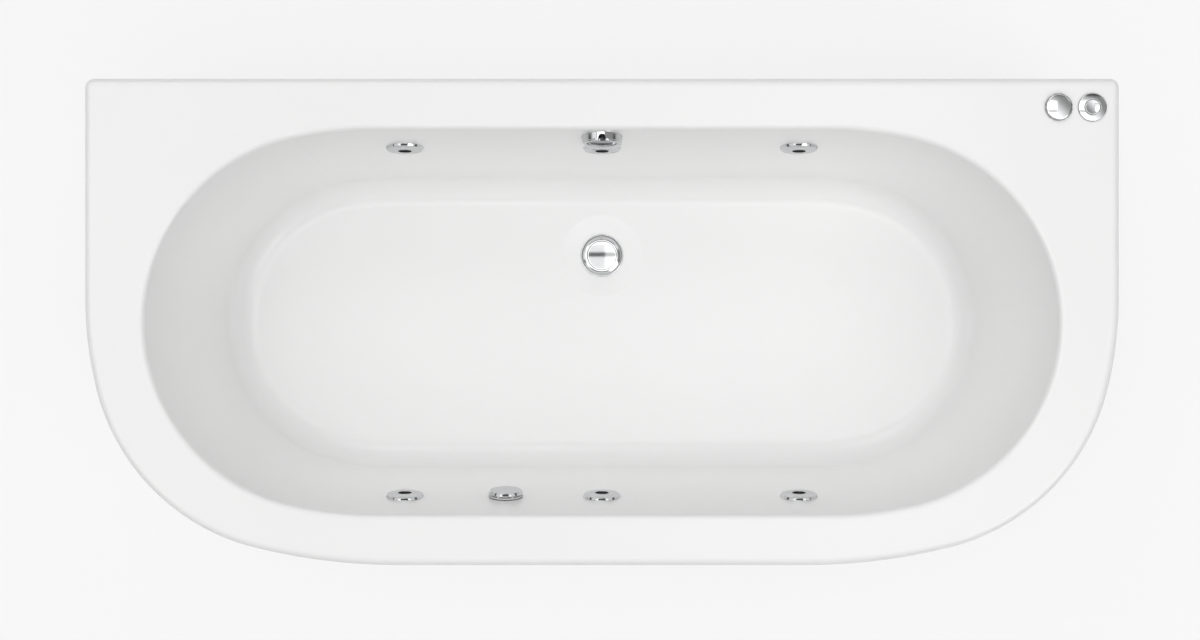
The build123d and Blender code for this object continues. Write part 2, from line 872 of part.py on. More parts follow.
def overflow_body():
    """The housing behind the wall, its bend and the spigot that the pipe is pushed on."""
    frame = overflow_frame()
    top = -skin - drain_seal_thickness
    elbow = overflow_elbow()
    away = frame.to_local_coords(elbow).Z
    neck = overflow_spigot_radius + 1.5
    shell = turned(
        (0, -34),
        (neck + 8, -34),
        (flange_radius - 5, -26),
        (flange_radius - 5, top - 4),
        (flange_radius, top - 4),
        (flange_radius, top),
        (0, top),
    )
    shell += rod(neck, away, -30)
    chamber = rod(flange_radius - 8, -24, top + 1) + rod(neck - 3, away, -20)
    hub = spider(overflow_shaft_radius + run_gap, 9, flange_radius - 6, -20, -9)
    low = (elbow.X, elbow.Y, elbow.Z - 46)
    start = (elbow.X, elbow.Y, elbow.Z)
    inside = overflow_spigot_radius - 2.5
    body = placed(frame, shell) + Pos(*start) * Sphere(neck)
    body += rod_between(overflow_spigot_radius, start, low)
    body += rod_between(4, (0, cable_y, elbow.Z + 4), (cable_x, cable_y, elbow.Z + 4))
    body += rod_between(5, (cable_x, cable_y, elbow.Z + 8), (cable_x, cable_y, elbow.Z - 8))
    body -= placed(frame, chamber)
    body -= Pos(*start) * Sphere(neck - 3)
    body -= rod_between(inside, start, (low[0], low[1], low[2] - 1))
    return body + placed(frame, hub)


def overflow_knob():
    """A hollow round knob with four arched notches in its edge, on a shaft."""
    top = overflow_knob_height + seat_gap
    wall = 3
    edge = overflow_knob_radius
    knob = turned(
        (edge - wall, seat_gap),
        (edge, seat_gap),
        (edge, top - 1.5),
        ((edge - 0.45, top - 0.45), (edge - 1.5, top)),
        dome(edge - 1.5, top, 1),
        (0, top - wall),
        (edge - wall, top - wall),
    )
    half = overflow_notch_width / 2
    for count in range(4):
        arch_low = top - overflow_notch_depth + half
        slot = rod_between(half, (0, edge - wall - 2, arch_low), (0, edge + 1, arch_low))
        slot += box((-half, half), (edge - wall - 2, edge + 1), (arch_low, top + 2))
        knob -= Rot(0, 0, 90 * count) * slot
    shaft = rod(overflow_shaft_radius, -22, top - wall)
    return knob + shaft + rod(9, -8, top - wall)


def overflow_pipe():
    """From the bend behind the overflow down to the port of the waste body."""
    elbow = overflow_elbow()
    top = (elbow.X, elbow.Y, elbow.Z - 21)
    z = floor_z - dish_drop - overflow_port_drop
    corner = (elbow.X, elbow.Y, z)
    end = (0, waste_y + waste_cup_radius + 8, z)
    print_radii("overflow pipe", [overflow_bend])
    route = FilletPolyline(top, corner, end, radius=overflow_bend)
    return hollow_pipe(route, overflow_spigot_radius + push_gap, overflow_pipe_radius)


def waste_trap():
    """A bottle trap on the waste body's tail. Its side socket, along x here, takes the room's waste pipe."""
    top = -waste_cup_length - 2
    low = top - trap_cup_height
    hole = trap_pipe_radius - 1 + push_gap
    cup = turned(
        (0, low),
        (trap_cup_radius - 6, low),
        ((trap_cup_radius - 2, low + 2), (trap_cup_radius, low + 6)),
        (trap_cup_radius, top - 8),
        (hole + 7, top),
        (hole, top),
        (hole, top - 4),
        (trap_cup_radius - 3, top - 9),
        (trap_cup_radius - 3, low + 6),
        (trap_cup_radius - 6, low + 3),
        (0, low + 3),
    )
    bore = trap_pipe_radius + trap_socket_gap
    outer = bore + 3.5
    z = top - trap_cup_height / 2
    start, end = trap_cup_radius - 8, trap_cup_radius + 2 + trap_socket_length
    cup += rod_between(outer, (start, 0, z), (end, 0, z)) - rod(trap_cup_radius - 3, low, top)
    cup -= rod_between(bore - 3.5, (start - 8, 0, z), (end, 0, z))
    return cup - rod_between(bore, (end - trap_socket_length, 0, z), (end + 1, 0, z))


def hollow_pipe(route, inner, outer):
    """A pipe of the given radii along a path."""
    start = route @ 0
    face = Plane(start, z_dir=route % 0) * (Circle(outer) - Circle(inner))
    return sweep(face, route)


def solid_cord(route, radius):
    face = Plane(route @ 0, z_dir=route % 0) * Circle(radius)
    return sweep(face, route)


def popup_cable():
    """The sheathed cable between the overflow knob and the plug's lifter."""
    elbow = overflow_elbow()
    end_y = waste_y + 42 + push_gap
    print_radii("pop-up cable", [cable_bend])
    route = FilletPolyline(
        (cable_x, cable_y, elbow.Z - 8 - push_gap),
        (cable_x, cable_y, cable_low_z),
        (cable_x, end_y, cable_low_z),
        radius=cable_bend,
    )
    return solid_cord(route, cable_radius)


# Deck controls


def control_shell():
    """A flanged, threaded tube through the deck, closed at the bottom."""
    return turned(
        (0, -control_body_length),
        (control_thread_radius - 1.5, -control_body_length),
        (control_thread_radius, 1.5 - control_body_length),
        (control_thread_radius, 0),
        (control_flange_radius, 0),
        (control_flange_radius, control_flange_thickness),
        (0, control_flange_thickness),
    )


def air_valve():
    """The air control's body: a guide for the knob's stem and two spigots for the air hoses."""
    body = control_shell()
    inside = control_thread_radius - 3
    floor = 3 - control_body_length
    body -= rod(inside, floor, control_flange_thickness + 1)
    body += rod(air_stem_radius + 3, floor - 1, -20) - rod(air_stem_radius + run_gap, floor, 0)
    for side in (-1, 1):
        x = side * air_spigot_spacing / 2
        low = -control_body_length - 20
        body += Pos(x, 0, 0) * rod(air_spigot_radius, low, floor - 1)
        body -= Pos(x, 0, 0) * rod(air_bore_radius, low - 1, floor + 1)
    return body


def air_knob():
    """A domed knob with six small notches, on a stem that turns in the air valve."""
    top = air_knob_height
    edge = air_knob_radius
    inside = control_flange_radius + seat_gap
    under = control_flange_thickness + seat_gap
    knob = turned(
        (0, under),
        (inside, under),
        (inside, seat_gap),
        (edge, seat_gap),
        (edge, top - 4.5),
        ((edge - 1.4, top - 2.3), (edge - 4.2, top - 1.3)),
        dome(edge - 4.2, top - 1.3, 1.3),
    )
    for count in range(6):
        angle = 60 * count
        notch = rod(air_knob_notch_radius, seat_gap - 1, top + 1)
        knob -= Pos((edge + 0.8) * cos(angle), (edge + 0.8) * sin(angle), 0) * notch
    return knob + rod(air_stem_radius, -40, under + 1)


def switch_body():
    """The air switch's body: a bore for the button and a spigot for the thin tube to the pump."""
    body = control_shell()
    inside = switch_button_radius + run_gap
    floor = 6 - control_body_length
    body -= rod(inside, floor, control_flange_thickness + 1)
    low = -control_body_length - 16
    body += rod(switch_tube_radius + 1, low, floor - 1)
    return body - rod(switch_tube_radius - 1, low - 1, floor + 1)


def switch_bezel():
    low = control_flange_thickness
    inside = control_flange_radius + push_gap
    hole = switch_button_radius + 0.4
    edge, top = switch_bezel_radius, switch_bezel_height
    return turned(
        (inside, seat_gap),
        (edge, seat_gap),
        (edge, top - 2.4),
        ((edge - 0.9, top - 0.9), (edge - 2.6, top - 0.2)),
        ((edge - 6.5, top), (hole + 0.5, top - 0.5)),
        (hole, top - 1),
        (hole, low),
        (inside, low),
    )


def switch_button():
    """A plunger with a slightly hollowed face, guided in the switch body."""
    top = switch_button_height
    edge = switch_button_radius
    return turned(
        (0, -14),
        (edge, -14),
        (edge, top - 1),
        ((edge - 0.3, top - 0.3), (edge - 1, top)),
        dome(edge - 1, top, -0.9),
    )


def switch_bellows():
    """The rubber bellows under the button. It pushes the air out and brings the button back."""
    low, high = 6 - control_body_length, -14
    folds = 5
    pitch = (high - low) / folds
    outer, inner = switch_button_radius - 1.5, switch_button_radius - 4.5
    steps = [(inner - 1.4, low), (inner, low)]
    for count in range(folds):
        z = low + count * pitch
        steps.append((outer, z + pitch / 2))
        steps.append((inner, z + pitch))
    steps.append((inner - 1.4, high))
    for count in reversed(range(folds)):
        z = low + count * pitch
        steps.append((outer - 1.4, z + pitch / 2))
        if count:
            steps.append((inner - 1.4, z))
    return placed(switch_frame(), turned(*steps))


def control_nuts():
    high = -skin
    nut = hex_ring(control_thread_radius + push_gap, control_nut_flats, high - control_nut_height, high)
    return Compound(children=[placed(frame, nut) for frame in (air_control_frame(), switch_frame())])


# Pump


def spiral_face(inset):
    """The volute: four quarter arcs, each larger than the last, about corners of a small square."""
    g = volute_growth
    centres = ((0, 0), (0, -g), (g, -g), (g, 0))
    chain = []
    for count, (x, y) in enumerate(centres):
        radius = volute_radius - inset + count * g
        points = [
            (x + radius * cos(90 * count + part), y + radius * sin(90 * count + part)) for part in (0, 45, 90)
        ]
        chain.append(ThreePointArc(*points))
    end = chain[-1] @ 1
    start = chain[0] @ 0
    chain.append(Line(end, start))
    return make_face(chain)


def pump_casing():
    """The wet end: a spiral chamber with the discharge neck on its outside."""
    wall = volute_wall
    outlet = suction_spigot_radius
    body = Pos(0, 0, -volute_width) * extrude(spiral_face(0), volute_width)
    middle = -volute_width / 2
    start, end = (discharge_x, 0, middle), (discharge_x, discharge_height, middle)
    body += rod_between(outlet, start, end)
    body -= Pos(0, 0, wall - volute_width) * extrude(spiral_face(wall), volute_width - 2 * wall)
    body -= rod_between(outlet - 3, start, (end[0], end[1] + 1, end[2]))
    body -= rod(volute_radius - wall - 1, -volute_width - 1, wall + 1 - volute_width)
    return body - rod(shaft_radius + 0.5, -wall - 1, 1)


def pump_cover():
    """The front plate with the inlet spigot."""
    face = -volute_width
    register = volute_radius - volute_wall - 1 - push_gap
    inlet = suction_spigot_radius
    return turned(
        (inlet - 3, face - 5 - inlet_length),
        (inlet, face - 5 - inlet_length),
        (inlet, face - 6),
        (volute_radius - 1, face - 5),
        (volute_radius - 1, face),
        (register, face),
        (register, face + volute_wall),
        (inlet - 3, face + volute_wall),
    )


def impeller():
    """A back plate, a hub and curved blades."""
    back = -volute_wall - 4
    plate = rod(impeller_radius, back - 4, back)
    front = back - 30
    blade = Pos(impeller_radius / 2, 0, 0) * ring(
        impeller_radius / 2 - 1.3, impeller_radius / 2 + 1.3, front, back - 3
    )
    blade &= box((-impeller_radius, impeller_radius), (0, impeller_radius), (front - 1, back))
    blade &= ring(8, impeller_radius - 0.5, front - 1, back)
    body = plate + rod(12, front + 6, back)
    for count in range(impeller_blades):
        body += Rot(0, 0, count * 360 / impeller_blades) * blade
    return body - rod(shaft_radius, front - 1, back + 1)


def motor_inside():
    """Where the bearings and the rotor sit along the motor."""
    first = 8
    last = motor_length - 8 - bearing_width
    middle = motor_length / 2
    return first, last, middle


def pump_shaft():
    """The shaft from impeller to fan, with the rotor's core on it."""
    _, _, middle = motor_inside()
    shaft = rod(shaft_radius, -volute_wall - 32, motor_length + cowl_length - 12)
    core = rod(rotor_radius, middle - rotor_length / 2, middle + rotor_length / 2)
    return shaft + core


def motor_bearings():
    first, last, _ = motor_inside()
    hole = shaft_radius + run_gap
    race = bearing_radius
    pair = []
    for low in (first, last):
        high = low + bearing_width
        pair.append(
            turned(
                (hole, low),
                (hole + 3, low),
                (hole + 3, low + 1),
                (race - 3, low + 1),
                (race - 3, low),
                (race, low),
                (race, high),
                (race - 3, high),
                (race - 3, high - 1),
                (hole + 3, high - 1),
                (hole + 3, high),
                (hole, high),
            )
        )
    return Compound(children=[placed(pump_frame(), bearing) for bearing in pair])


def motor_housing():
    """A finned motor body with the windings around the rotor, bearing seats and two cast feet."""
    first, last, middle = motor_inside()
    body = rod(motor_radius, 0, motor_length)
    for count in range(fin_count):
        angle = (count + 0.5) * 360 / fin_count
        fin = box((motor_radius - 2, motor_radius + fin_height), (-1.2, 1.2), (12, motor_length - 8))
        body += Rot(0, 0, angle) * fin
    for z in (28, motor_length - 28):
        foot = box((-44, 44), (-pump_axis_height, -pump_axis_height + 8), (z - 14, z + 14))
        foot += box((-34, 34), (-pump_axis_height + 4, -motor_radius + 18), (z - 9, z + 9))
        body += foot
    gap = 0.6
    half = rotor_length / 2
    body -= rod(rotor_radius + gap, middle - half - 1, middle + half + 1)
    for low, high in ((first + bearing_width - 0.01, middle - half - 1), (middle + half + 1, last + 0.01)):
        body -= rod(rotor_radius - 8, low, high)
    for low in (first, last):
        body -= rod(bearing_radius, low, low + bearing_width)
    body -= rod(shaft_radius + 0.5, -1, motor_length + 1)
    return body


def motor_fan():
    low = motor_length + 6
    high = low + 14
    fan = rod(13, low - 2, high) + rod(fan_radius - 6, low, low + 2)
    for count in range(fan_blades):
        blade = box((10, fan_radius), (-1, 1), (low, high))
        fan += Rot(0, 0, count * 360 / fan_blades) * blade
    return fan - rod(shaft_radius, low - 4, high + 1)


def fan_cowl():
    """A pressed cover over the fan, with radial air slots."""
    outer = motor_radius - 1
    low, high = motor_length - 6, motor_length + cowl_length
    cup = turned(
        (motor_radius + 0.3, low),
        (motor_radius + 2, low),
        (motor_radius + 2, motor_length + 1.5),
        (outer, motor_length + 1.5),
        (outer, high - 6),
        ((outer - 1.8, high - 1.8), (outer - 6, high)),
        (0, high),
        (0, high - 1.6),
        (outer - 6, high - 1.6),
        ((outer - 3, high - 3), (outer - 1.6, high - 6)),
        (outer - 1.6, motor_length + seat_gap),
        (motor_radius + 0.3, motor_length + seat_gap),
    )
    for count in range(16):
        slot = box((14, outer - 10), (-1.8, 1.8), (high - 4, high + 1))
        cup -= Rot(0, 0, count * 22.5) * slot
    return cup


def terminal_box():
    """The electrical box on the motor, with a gland for the mains cable and a spigot for the air tube."""
    top = motor_radius + fin_height + terminal_box_height
    z0, z1 = 36, 124
    base = motor_radius + fin_height + seat_gap
    block = box((-34, 34), (base, top), (z0, z1))
    block = fillet(block.edges().filter_by(Axis.Y), 6)
    lid = box((-35.5, 35.5), (top - 10, top), (z0 - 1.5, z1 + 1.5))
    lid = fillet(lid.edges().filter_by(Axis.Y), 7)
    body = block + lid
    body -= box((-30, 30), (base + 3, top - 3), (z0 + 4, z1 - 4))
    gland_y = base + 13
    body += rod_between(9, (0, gland_y, z1 - 2), (0, gland_y, z1 + 18))
    body -= rod_between(4, (0, gland_y, z1 - 6), (0, gland_y, z1 + 19))
    tube = (0, 60)
    low = (tube[0], top - 6, tube[1])
    high = (tube[0], top + 12, tube[1])
    body += rod_between(switch_tube_radius + 1, low, high)
    return body - rod_between(switch_tube_radius - 1, low, (high[0], high[1] + 1, high[2]))


# Pipes and hoses


def print_radii(name, radii):
    print(name, "bend radii in mm:", ", ".join(f"{radius:g}" for radius in radii))


def manifold_tee(x, y, level, socket):
    """The tee above the pump: a socket towards each row of jets and one for the riser."""
    cross, neck = socket + tee_wall, socket + tee_wall - 0.8
    bore = water_spigot_radius
    stop = tee_half - tee_socket_depth
    body = rod_between(cross, (x, y - tee_half, level), (x, y + tee_half, level))
    body += rod_between(neck, (x, y, level - tee_drop), (x, y, level))
    body -= rod_between(bore, (x, y - stop - 1, level), (x, y + stop + 1, level))
    for side in (-1, 1):
        body -= rod_between(socket, (x, y + side * stop, level), (x, y + side * (tee_half + 1), level))
    body -= rod_between(bore - 1, (x, y, level - tee_drop), (x, y, level))
    return body - rod_between(socket, (x, y, level - tee_drop - 1), (x, y, level - tee_drop + tee_socket_depth))


def manifold_riser(low, high, inner, outer):
    """The pipe up from the pump, with the union that holds it on the discharge neck."""
    union = suction_spigot_radius + push_gap
    return turned(
        (union, low - union_depth),
        (union + union_wall, low - union_depth),
        (union + union_wall, low + union_rise),
        (outer, low + union_rise),
        (outer, high),
        (inner, high),
        (inner, low),
        (union, low),
    )


def pressure_manifold():
    """The solvent-welded pipework from the pump's discharge to the first jet of each row."""
    x, y, z = world(pump_frame(), discharge_x, discharge_height, -volute_width / 2)
    back_end = jet_port("back_left", -1, water_drop, water_spigot_length)
    front_end = jet_port("front_left", 1, water_drop, water_spigot_length)
    level = back_end[2]
    outer, inner = water_pipe_radius, water_spigot_radius + push_gap
    first = tee_half - tee_socket_depth + push_gap
    corner_y = y - manifold_front_start
    back = FilletPolyline(
        (x, y + first, level),
        (x, back_end[1], level),
        (back_end[0] + pipe_grip, back_end[1], level),
        radius=manifold_back_bend,
    )
    front = FilletPolyline(
        (x, y - first, level),
        (x, corner_y, level),
        (x + manifold_front_run, front_end[1], level),
        (front_end[0] + pipe_grip, front_end[1], level),
        radius=list(manifold_front_bends),
    )
    print_radii("pressure manifold", (manifold_back_bend, *manifold_front_bends))
    riser_top = level - tee_drop + tee_socket_depth - push_gap
    riser = Pos(x, y, 0) * manifold_riser(z, riser_top, inner, outer)
    tee = manifold_tee(x, y, level, outer + push_gap)
    return Compound(children=[tee, riser, hollow_pipe(back, inner, outer), hollow_pipe(front, inner, outer)])


def jet_port(name, side, drop, length):
    """The end of a jet's water spigot (drop > 0) or air spigot (drop < 0), in the room."""
    frame = dict(jet_places())[name]
    return world(frame, side * length, -drop, -branch_back)


def link_lines(drop, neck, inner, outer):
    """Straight pipes that join the jets of each row."""
    links = []
    for row in ("back", "front"):
        for first, second in (("left", "middle"), ("middle", "right")):
            start = jet_port(f"{row}_{first}", 0, drop, 0)
            end = jet_port(f"{row}_{second}", 0, drop, 0)
            start = (start[0] + neck, start[1], start[2])
            end = (end[0] - neck, end[1], end[2])
            links.append(rod_between(outer, start, end) - rod_between(inner, start, end))
    return Compound(children=links)


def jet_link_pipes():
    gap = water_spigot_length - pipe_grip
    return link_lines(water_drop, gap, water_spigot_radius + push_gap, water_pipe_radius)


def jet_link_hoses():
    gap = air_spigot_length - air_grip
    return link_lines(-air_rise, gap, air_spigot_radius + push_gap, air_hose_radius)


def air_start(side):
    """The end of one of the air valve's spigots, drawn up to where the hose is pushed to."""
    low = -control_body_length - 20 + air_grip
    return world(air_control_frame(), side * air_spigot_spacing / 2, 0, low)


def air_hose_back():
    start = air_start(-1)
    end = jet_port("back_right", 1, -air_rise, air_spigot_length)
    level = end[2]
    stop = (end[0] - air_grip, end[1], level)
    print_radii("back air hose", back_air_bends)
    route = FilletPolyline(
        start,
        (start[0], start[1], level),
        (end[0] + back_air_run, end[1], level),
        stop,
        radius=list(back_air_bends),
    )
    return hollow_pipe(route, air_spigot_radius + push_gap, air_hose_radius)


def air_hose_front():
    start = air_start(1)
    end = jet_port("front_right", -1, -air_rise, air_spigot_length)
    level = end[2]
    stop = (end[0] - air_grip, end[1], level)
    side_x = start[0] + front_air_side_shift
    print_radii("front air hose", front_air_bends)
    route = FilletPolyline(
        start,
        (start[0], start[1], level - front_air_sag),
        (side_x, start[1] - front_air_back_run, level - front_air_sag / 2),
        (side_x, end[1] + front_air_front_run, level),
        (end[0] + front_air_jet_run, end[1], level),
        stop,
        radius=list(front_air_bends),
    )
    return hollow_pipe(route, air_spigot_radius + push_gap, air_hose_radius)


def suction_pipe():
    """From the suction fitting down and left to the pump's inlet."""
    frame = suction_frame()
    start = world(frame, 0, pipe_grip + hose_stop - suction_spigot_length, -suction_reach)
    elbow = Vector(*world(frame, 0, 0, -suction_reach))
    way = Vector(*start) - elbow
    fall = elbow + way * ((elbow.Z - pump_z) / (elbow.Z - start[2]))
    inlet_y = pump_y - volute_width - 5 - inlet_length
    print_radii("suction pipe", suction_bends)
    route = FilletPolyline(
        start,
        (fall.X, fall.Y, pump_z),
        (pump_x + suction_turn_run, fall.Y, pump_z),
        (pump_x, inlet_y - suction_turn_room, pump_z),
        (pump_x, inlet_y + pipe_grip + hose_stop, pump_z),
        radius=list(suction_bends),
    )
    return hollow_pipe(route, suction_spigot_radius + push_gap, suction_pipe_radius)


def switch_tube():
    """The thin air tube from the switch, along the back of the tub, to the box on the pump."""
    start = world(switch_frame(), 0, 0, -control_body_length - push_gap - 16)
    top = motor_radius + fin_height + terminal_box_height + 12 + push_gap
    end = world(pump_frame(), 0, top, 60)
    level = rim_height - tube_drop
    wall_y = well_width / 2 - tube_drop * tan(side_lean) + skin / cos(side_lean)
    along = wall_y + switch_tube_radius + tube_wall_gap
    print_radii("switch tube", tube_bends)
    route = FilletPolyline(
        start,
        (start[0], start[1], level),
        (half_length - tube_from_end, along, level),
        (pump_x + tube_pump_run, along, level),
        (end[0], end[1], level),
        end,
        radius=list(tube_bends),
    )
    return solid_cord(route, switch_tube_radius)


def everything():
    """Every piece of the bath by name."""
    pieces = {
        "bath_shell": bath_shell(),
        "base_board": base_board(),
        "rim_battens": rim_battens(),
        "apron_panel": apron_panel(),
        "cradle_frame": cradle_frame(),
        "pump_shelf": pump_shelf(),
        "foot_nuts": foot_nuts(),
        "jet_bodies": jet_bodies(),
        "fitting_gaskets": fitting_gaskets(),
        "fitting_nuts": fitting_nuts(),
        "suction_body": placed(suction_frame(), suction_body()),
        "suction_cover": placed(suction_frame(), suction_cover()),
        "waste_flange": placed(waste_frame(), waste_flange()),
        "waste_plug": placed(waste_frame(), waste_plug()),
        "waste_body": placed(waste_frame(), waste_body()),
        "waste_trap": placed(waste_frame(), Rot(0, 0, 90) * waste_trap()),
        "drain_seals": drain_seals(),
        "overflow_body": overflow_body(),
        "overflow_knob": placed(overflow_frame(), overflow_knob()),
        "overflow_pipe": overflow_pipe(),
        "popup_cable": popup_cable(),
        "air_valve": placed(air_control_frame(), air_valve()),
        "air_knob": placed(air_control_frame(), air_knob()),
        "switch_body": placed(switch_frame(), switch_body()),
        "switch_bezel": placed(switch_frame(), switch_bezel()),
        "switch_button": placed(switch_frame(), switch_button()),
        "switch_bellows": switch_bellows(),
        "control_nuts": control_nuts(),
        "pump_casing": placed(pump_frame(), pump_casing()),
        "pump_cover": placed(pump_frame(), pump_cover()),
        "impeller": placed(pump_frame(), impeller()),
        "pump_shaft": placed(pump_frame(), pump_shaft()),
        "motor_bearings": motor_bearings(),
        "motor_housing": placed(pump_frame(), motor_housing()),
        "motor_fan": placed(pump_frame(), motor_fan()),
        "fan_cowl": placed(pump_frame(), fan_cowl()),
        "terminal_box": placed(pump_frame(), terminal_box()),
        "pressure_manifold": pressure_manifold(),
        "suction_pipe": suction_pipe(),
        "jet_link_pipes": jet_link_pipes(),
        "jet_link_hoses": jet_link_hoses(),
        "air_hose_back": air_hose_back(),
        "air_hose_front": air_hose_front(),
        "switch_tube": switch_tube(),
    }
    for name, (x, y) in foot_places():
        pieces[f"foot_{name}"] = Pos(x, y, 0) * levelling_foot()
    cap, eyeball = jet_cap(), jet_eyeball()
    for name, frame in jet_places():
        pieces[f"jet_cap_{name}"] = placed(frame, cap)
        pieces[f"jet_eyeball_{name}"] = placed(frame, eyeball)
    return pieces


os.makedirs("parts", exist_ok=True)
for node, shape in everything().items():
    export_step(shape, f"parts/{node}.step")
    print(node)
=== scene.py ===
import json
import math

import bpy
from mathutils import Matrix, Vector


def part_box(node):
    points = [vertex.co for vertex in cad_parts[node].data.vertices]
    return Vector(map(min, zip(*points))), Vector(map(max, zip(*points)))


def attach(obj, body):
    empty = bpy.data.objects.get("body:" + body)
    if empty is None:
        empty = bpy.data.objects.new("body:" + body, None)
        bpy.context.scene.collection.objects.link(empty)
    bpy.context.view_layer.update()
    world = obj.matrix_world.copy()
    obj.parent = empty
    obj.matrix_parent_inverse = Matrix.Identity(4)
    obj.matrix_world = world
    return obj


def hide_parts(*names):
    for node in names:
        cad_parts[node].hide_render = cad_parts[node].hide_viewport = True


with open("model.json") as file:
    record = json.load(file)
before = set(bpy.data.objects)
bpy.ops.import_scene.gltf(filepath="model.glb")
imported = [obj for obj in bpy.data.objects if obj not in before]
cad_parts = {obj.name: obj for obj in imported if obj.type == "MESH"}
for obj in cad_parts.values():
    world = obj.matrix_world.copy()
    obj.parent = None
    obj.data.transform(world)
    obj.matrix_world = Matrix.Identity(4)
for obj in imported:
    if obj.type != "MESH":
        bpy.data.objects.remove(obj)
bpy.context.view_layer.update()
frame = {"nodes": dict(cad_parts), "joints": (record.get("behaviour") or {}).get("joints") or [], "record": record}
nodes = frame["nodes"]
joints = {joint["name"]: joint for joint in frame["joints"]}
print("frame loaded:", len(nodes), "CAD nodes")


class Wire:
    # wraps one output socket, so that shader maths reads as plain Python
    def __init__(self, tree, socket=None):
        self.tree = tree
        self.socket = socket

    def make(self, kind, settings=None, values=None, out=0):
        node = self.tree.nodes.new(kind)
        for key, value in (settings or {}).items():
            if key == "stops":
                ramp = node.color_ramp
                while len(ramp.elements) < len(value):
                    ramp.elements.new(0.5)
                for element, (place, colour) in zip(ramp.elements, value):
                    element.position = place
                    element.color = colour if len(colour) == 4 else (*colour, 1)
            else:
                setattr(node, key, value)
        for key, value in (values or {}).items():
            if isinstance(value, Wire):
                self.tree.links.new(value.socket, node.inputs[key])
            else:
                node.inputs[key].default_value = value
        return Wire(self.tree, node.outputs[out]) if len(node.outputs) else None

    def out(self, name):
        return Wire(self.tree, self.socket.node.outputs[name])

    def math(self, operation, first, second):
        return self.make("ShaderNodeMath", {"operation": operation}, {0: first, 1: second})

    def __add__(self, other):
        return self.math("ADD", self, other)

    def __radd__(self, other):
        return self.math("ADD", other, self)

    def __sub__(self, other):
        return self.math("SUBTRACT", self, other)

    def __rsub__(self, other):
        return self.math("SUBTRACT", other, self)

    def __mul__(self, other):
        return self.math("MULTIPLY", self, other)

    def __rmul__(self, other):
        return self.math("MULTIPLY", other, self)

    def __truediv__(self, other):
        return self.math("DIVIDE", self, other)

    def __pow__(self, other):
        return self.math("POWER", self, other)


def mixColour(wire, factor, first, second, blend="MIX"):
    settings = {"data_type": "RGBA", "blend_type": blend}
    return wire.make("ShaderNodeMix", settings, {0: factor, 6: first, 7: second}, out=2)


def rgba(colour):
    return (*colour, 1.0)


def newMaterial(name, fixed, build=None):
    material = bpy.data.materials.new(name)
    material.use_nodes = True
    tree = material.node_tree
    tree.nodes.clear()
    start = Wire(tree)
    values = dict(fixed)
    if build:
        values.update(build(start))
    shader = start.make("ShaderNodeBsdfPrincipled", None, values)
    start.make("ShaderNodeOutputMaterial", None, {"Surface": shader})
    return material


def objectPlace(start, scale=(1, 1, 1), turn=(0, 0, 0)):
    place = start.make("ShaderNodeTexCoord", out=3)
    return start.make("ShaderNodeMapping", None, {"Vector": place, "Scale": scale, "Rotation": turn})


def noise(start, place, scale, detail=2.0, rough=0.5):
    values = {"Vector": place, "Scale": scale, "Detail": detail, "Roughness": rough}
    return start.make("ShaderNodeTexNoise", None, values)


def bump(start, height, strength, distance):
    return start.make("ShaderNodeBump", None, {"Height": height, "Strength": strength, "Distance": distance})


def glossSheet(colour, tint, rough, peel):
    # cast acrylic: faint orange peel, faint cloudiness in the gloss and the whiteness
    def build(start):
        place = objectPlace(start)
        cloud = noise(start, place, 3.5, 3)
        fine = noise(start, place, 260, 2)
        wave = noise(start, place, 28, 1)
        base = mixColour(start, cloud * 0.9, rgba(colour), rgba(tint))
        return {
            "Base Color": base,
            "Roughness": rough + (cloud - 0.5) * 0.06 + fine * 0.02,
            "Normal": bump(start, wave, peel, 0.0006),
        }

    return build


def moulded(colour, tint, rough, grain):
    # injection moulding: fine spark-eroded grain and slight flow marks
    def build(start):
        place = objectPlace(start)
        flow = noise(start, place, 14, 3)
        spark = noise(start, place, 900, 2)
        return {
            "Base Color": mixColour(start, flow, rgba(colour), rgba(tint)),
            "Roughness": rough + (spark - 0.5) * 0.12,
            "Normal": bump(start, spark, grain, 0.0004),
        }

    return build


def plated(colour, tint, rough):
    # polished plating: faint haze, hairline wipe marks
    def build(start):
        place = objectPlace(start)
        haze = noise(start, place, 60, 3)
        wipe = noise(start, objectPlace(start, (30, 900, 900), (0.3, 0.2, 0.5)), 3, 2)
        return {
            "Base Color": mixColour(start, haze, rgba(colour), rgba(tint)),
            "Roughness": rough + haze * 0.03 + wipe * 0.02,
            "Normal": bump(start, wipe, 0.012, 0.0002),
        }

    return build


def zincPlate(colour, tint, rough):
    # zinc plating: crystalline spangle with a soft sheen
    def build(start):
        place = objectPlace(start)
        spangle = start.make("ShaderNodeTexVoronoi", None, {"Vector": place, "Scale": 160.0}, out=1)
        value = start.make("ShaderNodeSeparateColor", None, {"Color": spangle})
        grime = noise(start, place, 18, 4)
        base = mixColour(start, value * 0.6 + grime * 0.4, rgba(colour), rgba(tint))
        return {
            "Base Color": base,
            "Roughness": rough + value * 0.12,
            "Normal": bump(start, value, 0.05, 0.0003),
        }

    return build


def woodGrain(colour, tint, stretch):
    # planed softwood: long grain lines, darker late wood
    def build(start):
        place = objectPlace(start, stretch)
        bend = noise(start, place, 2.2, 4)
        waves = {"Vector": place, "Scale": 6.0, "Distortion": 6.0, "Detail": 3.0}
        rings = start.make("ShaderNodeTexWave", {"bands_direction": "Z"}, waves)
        mask = rings * 0.6 + bend * 0.4
        return {
            "Base Color": mixColour(start, mask, rgba(colour), rgba(tint)),
            "Roughness": 0.62 + mask * 0.14,
            "Normal": bump(start, mask, 0.2, 0.0006),
        }

    return build


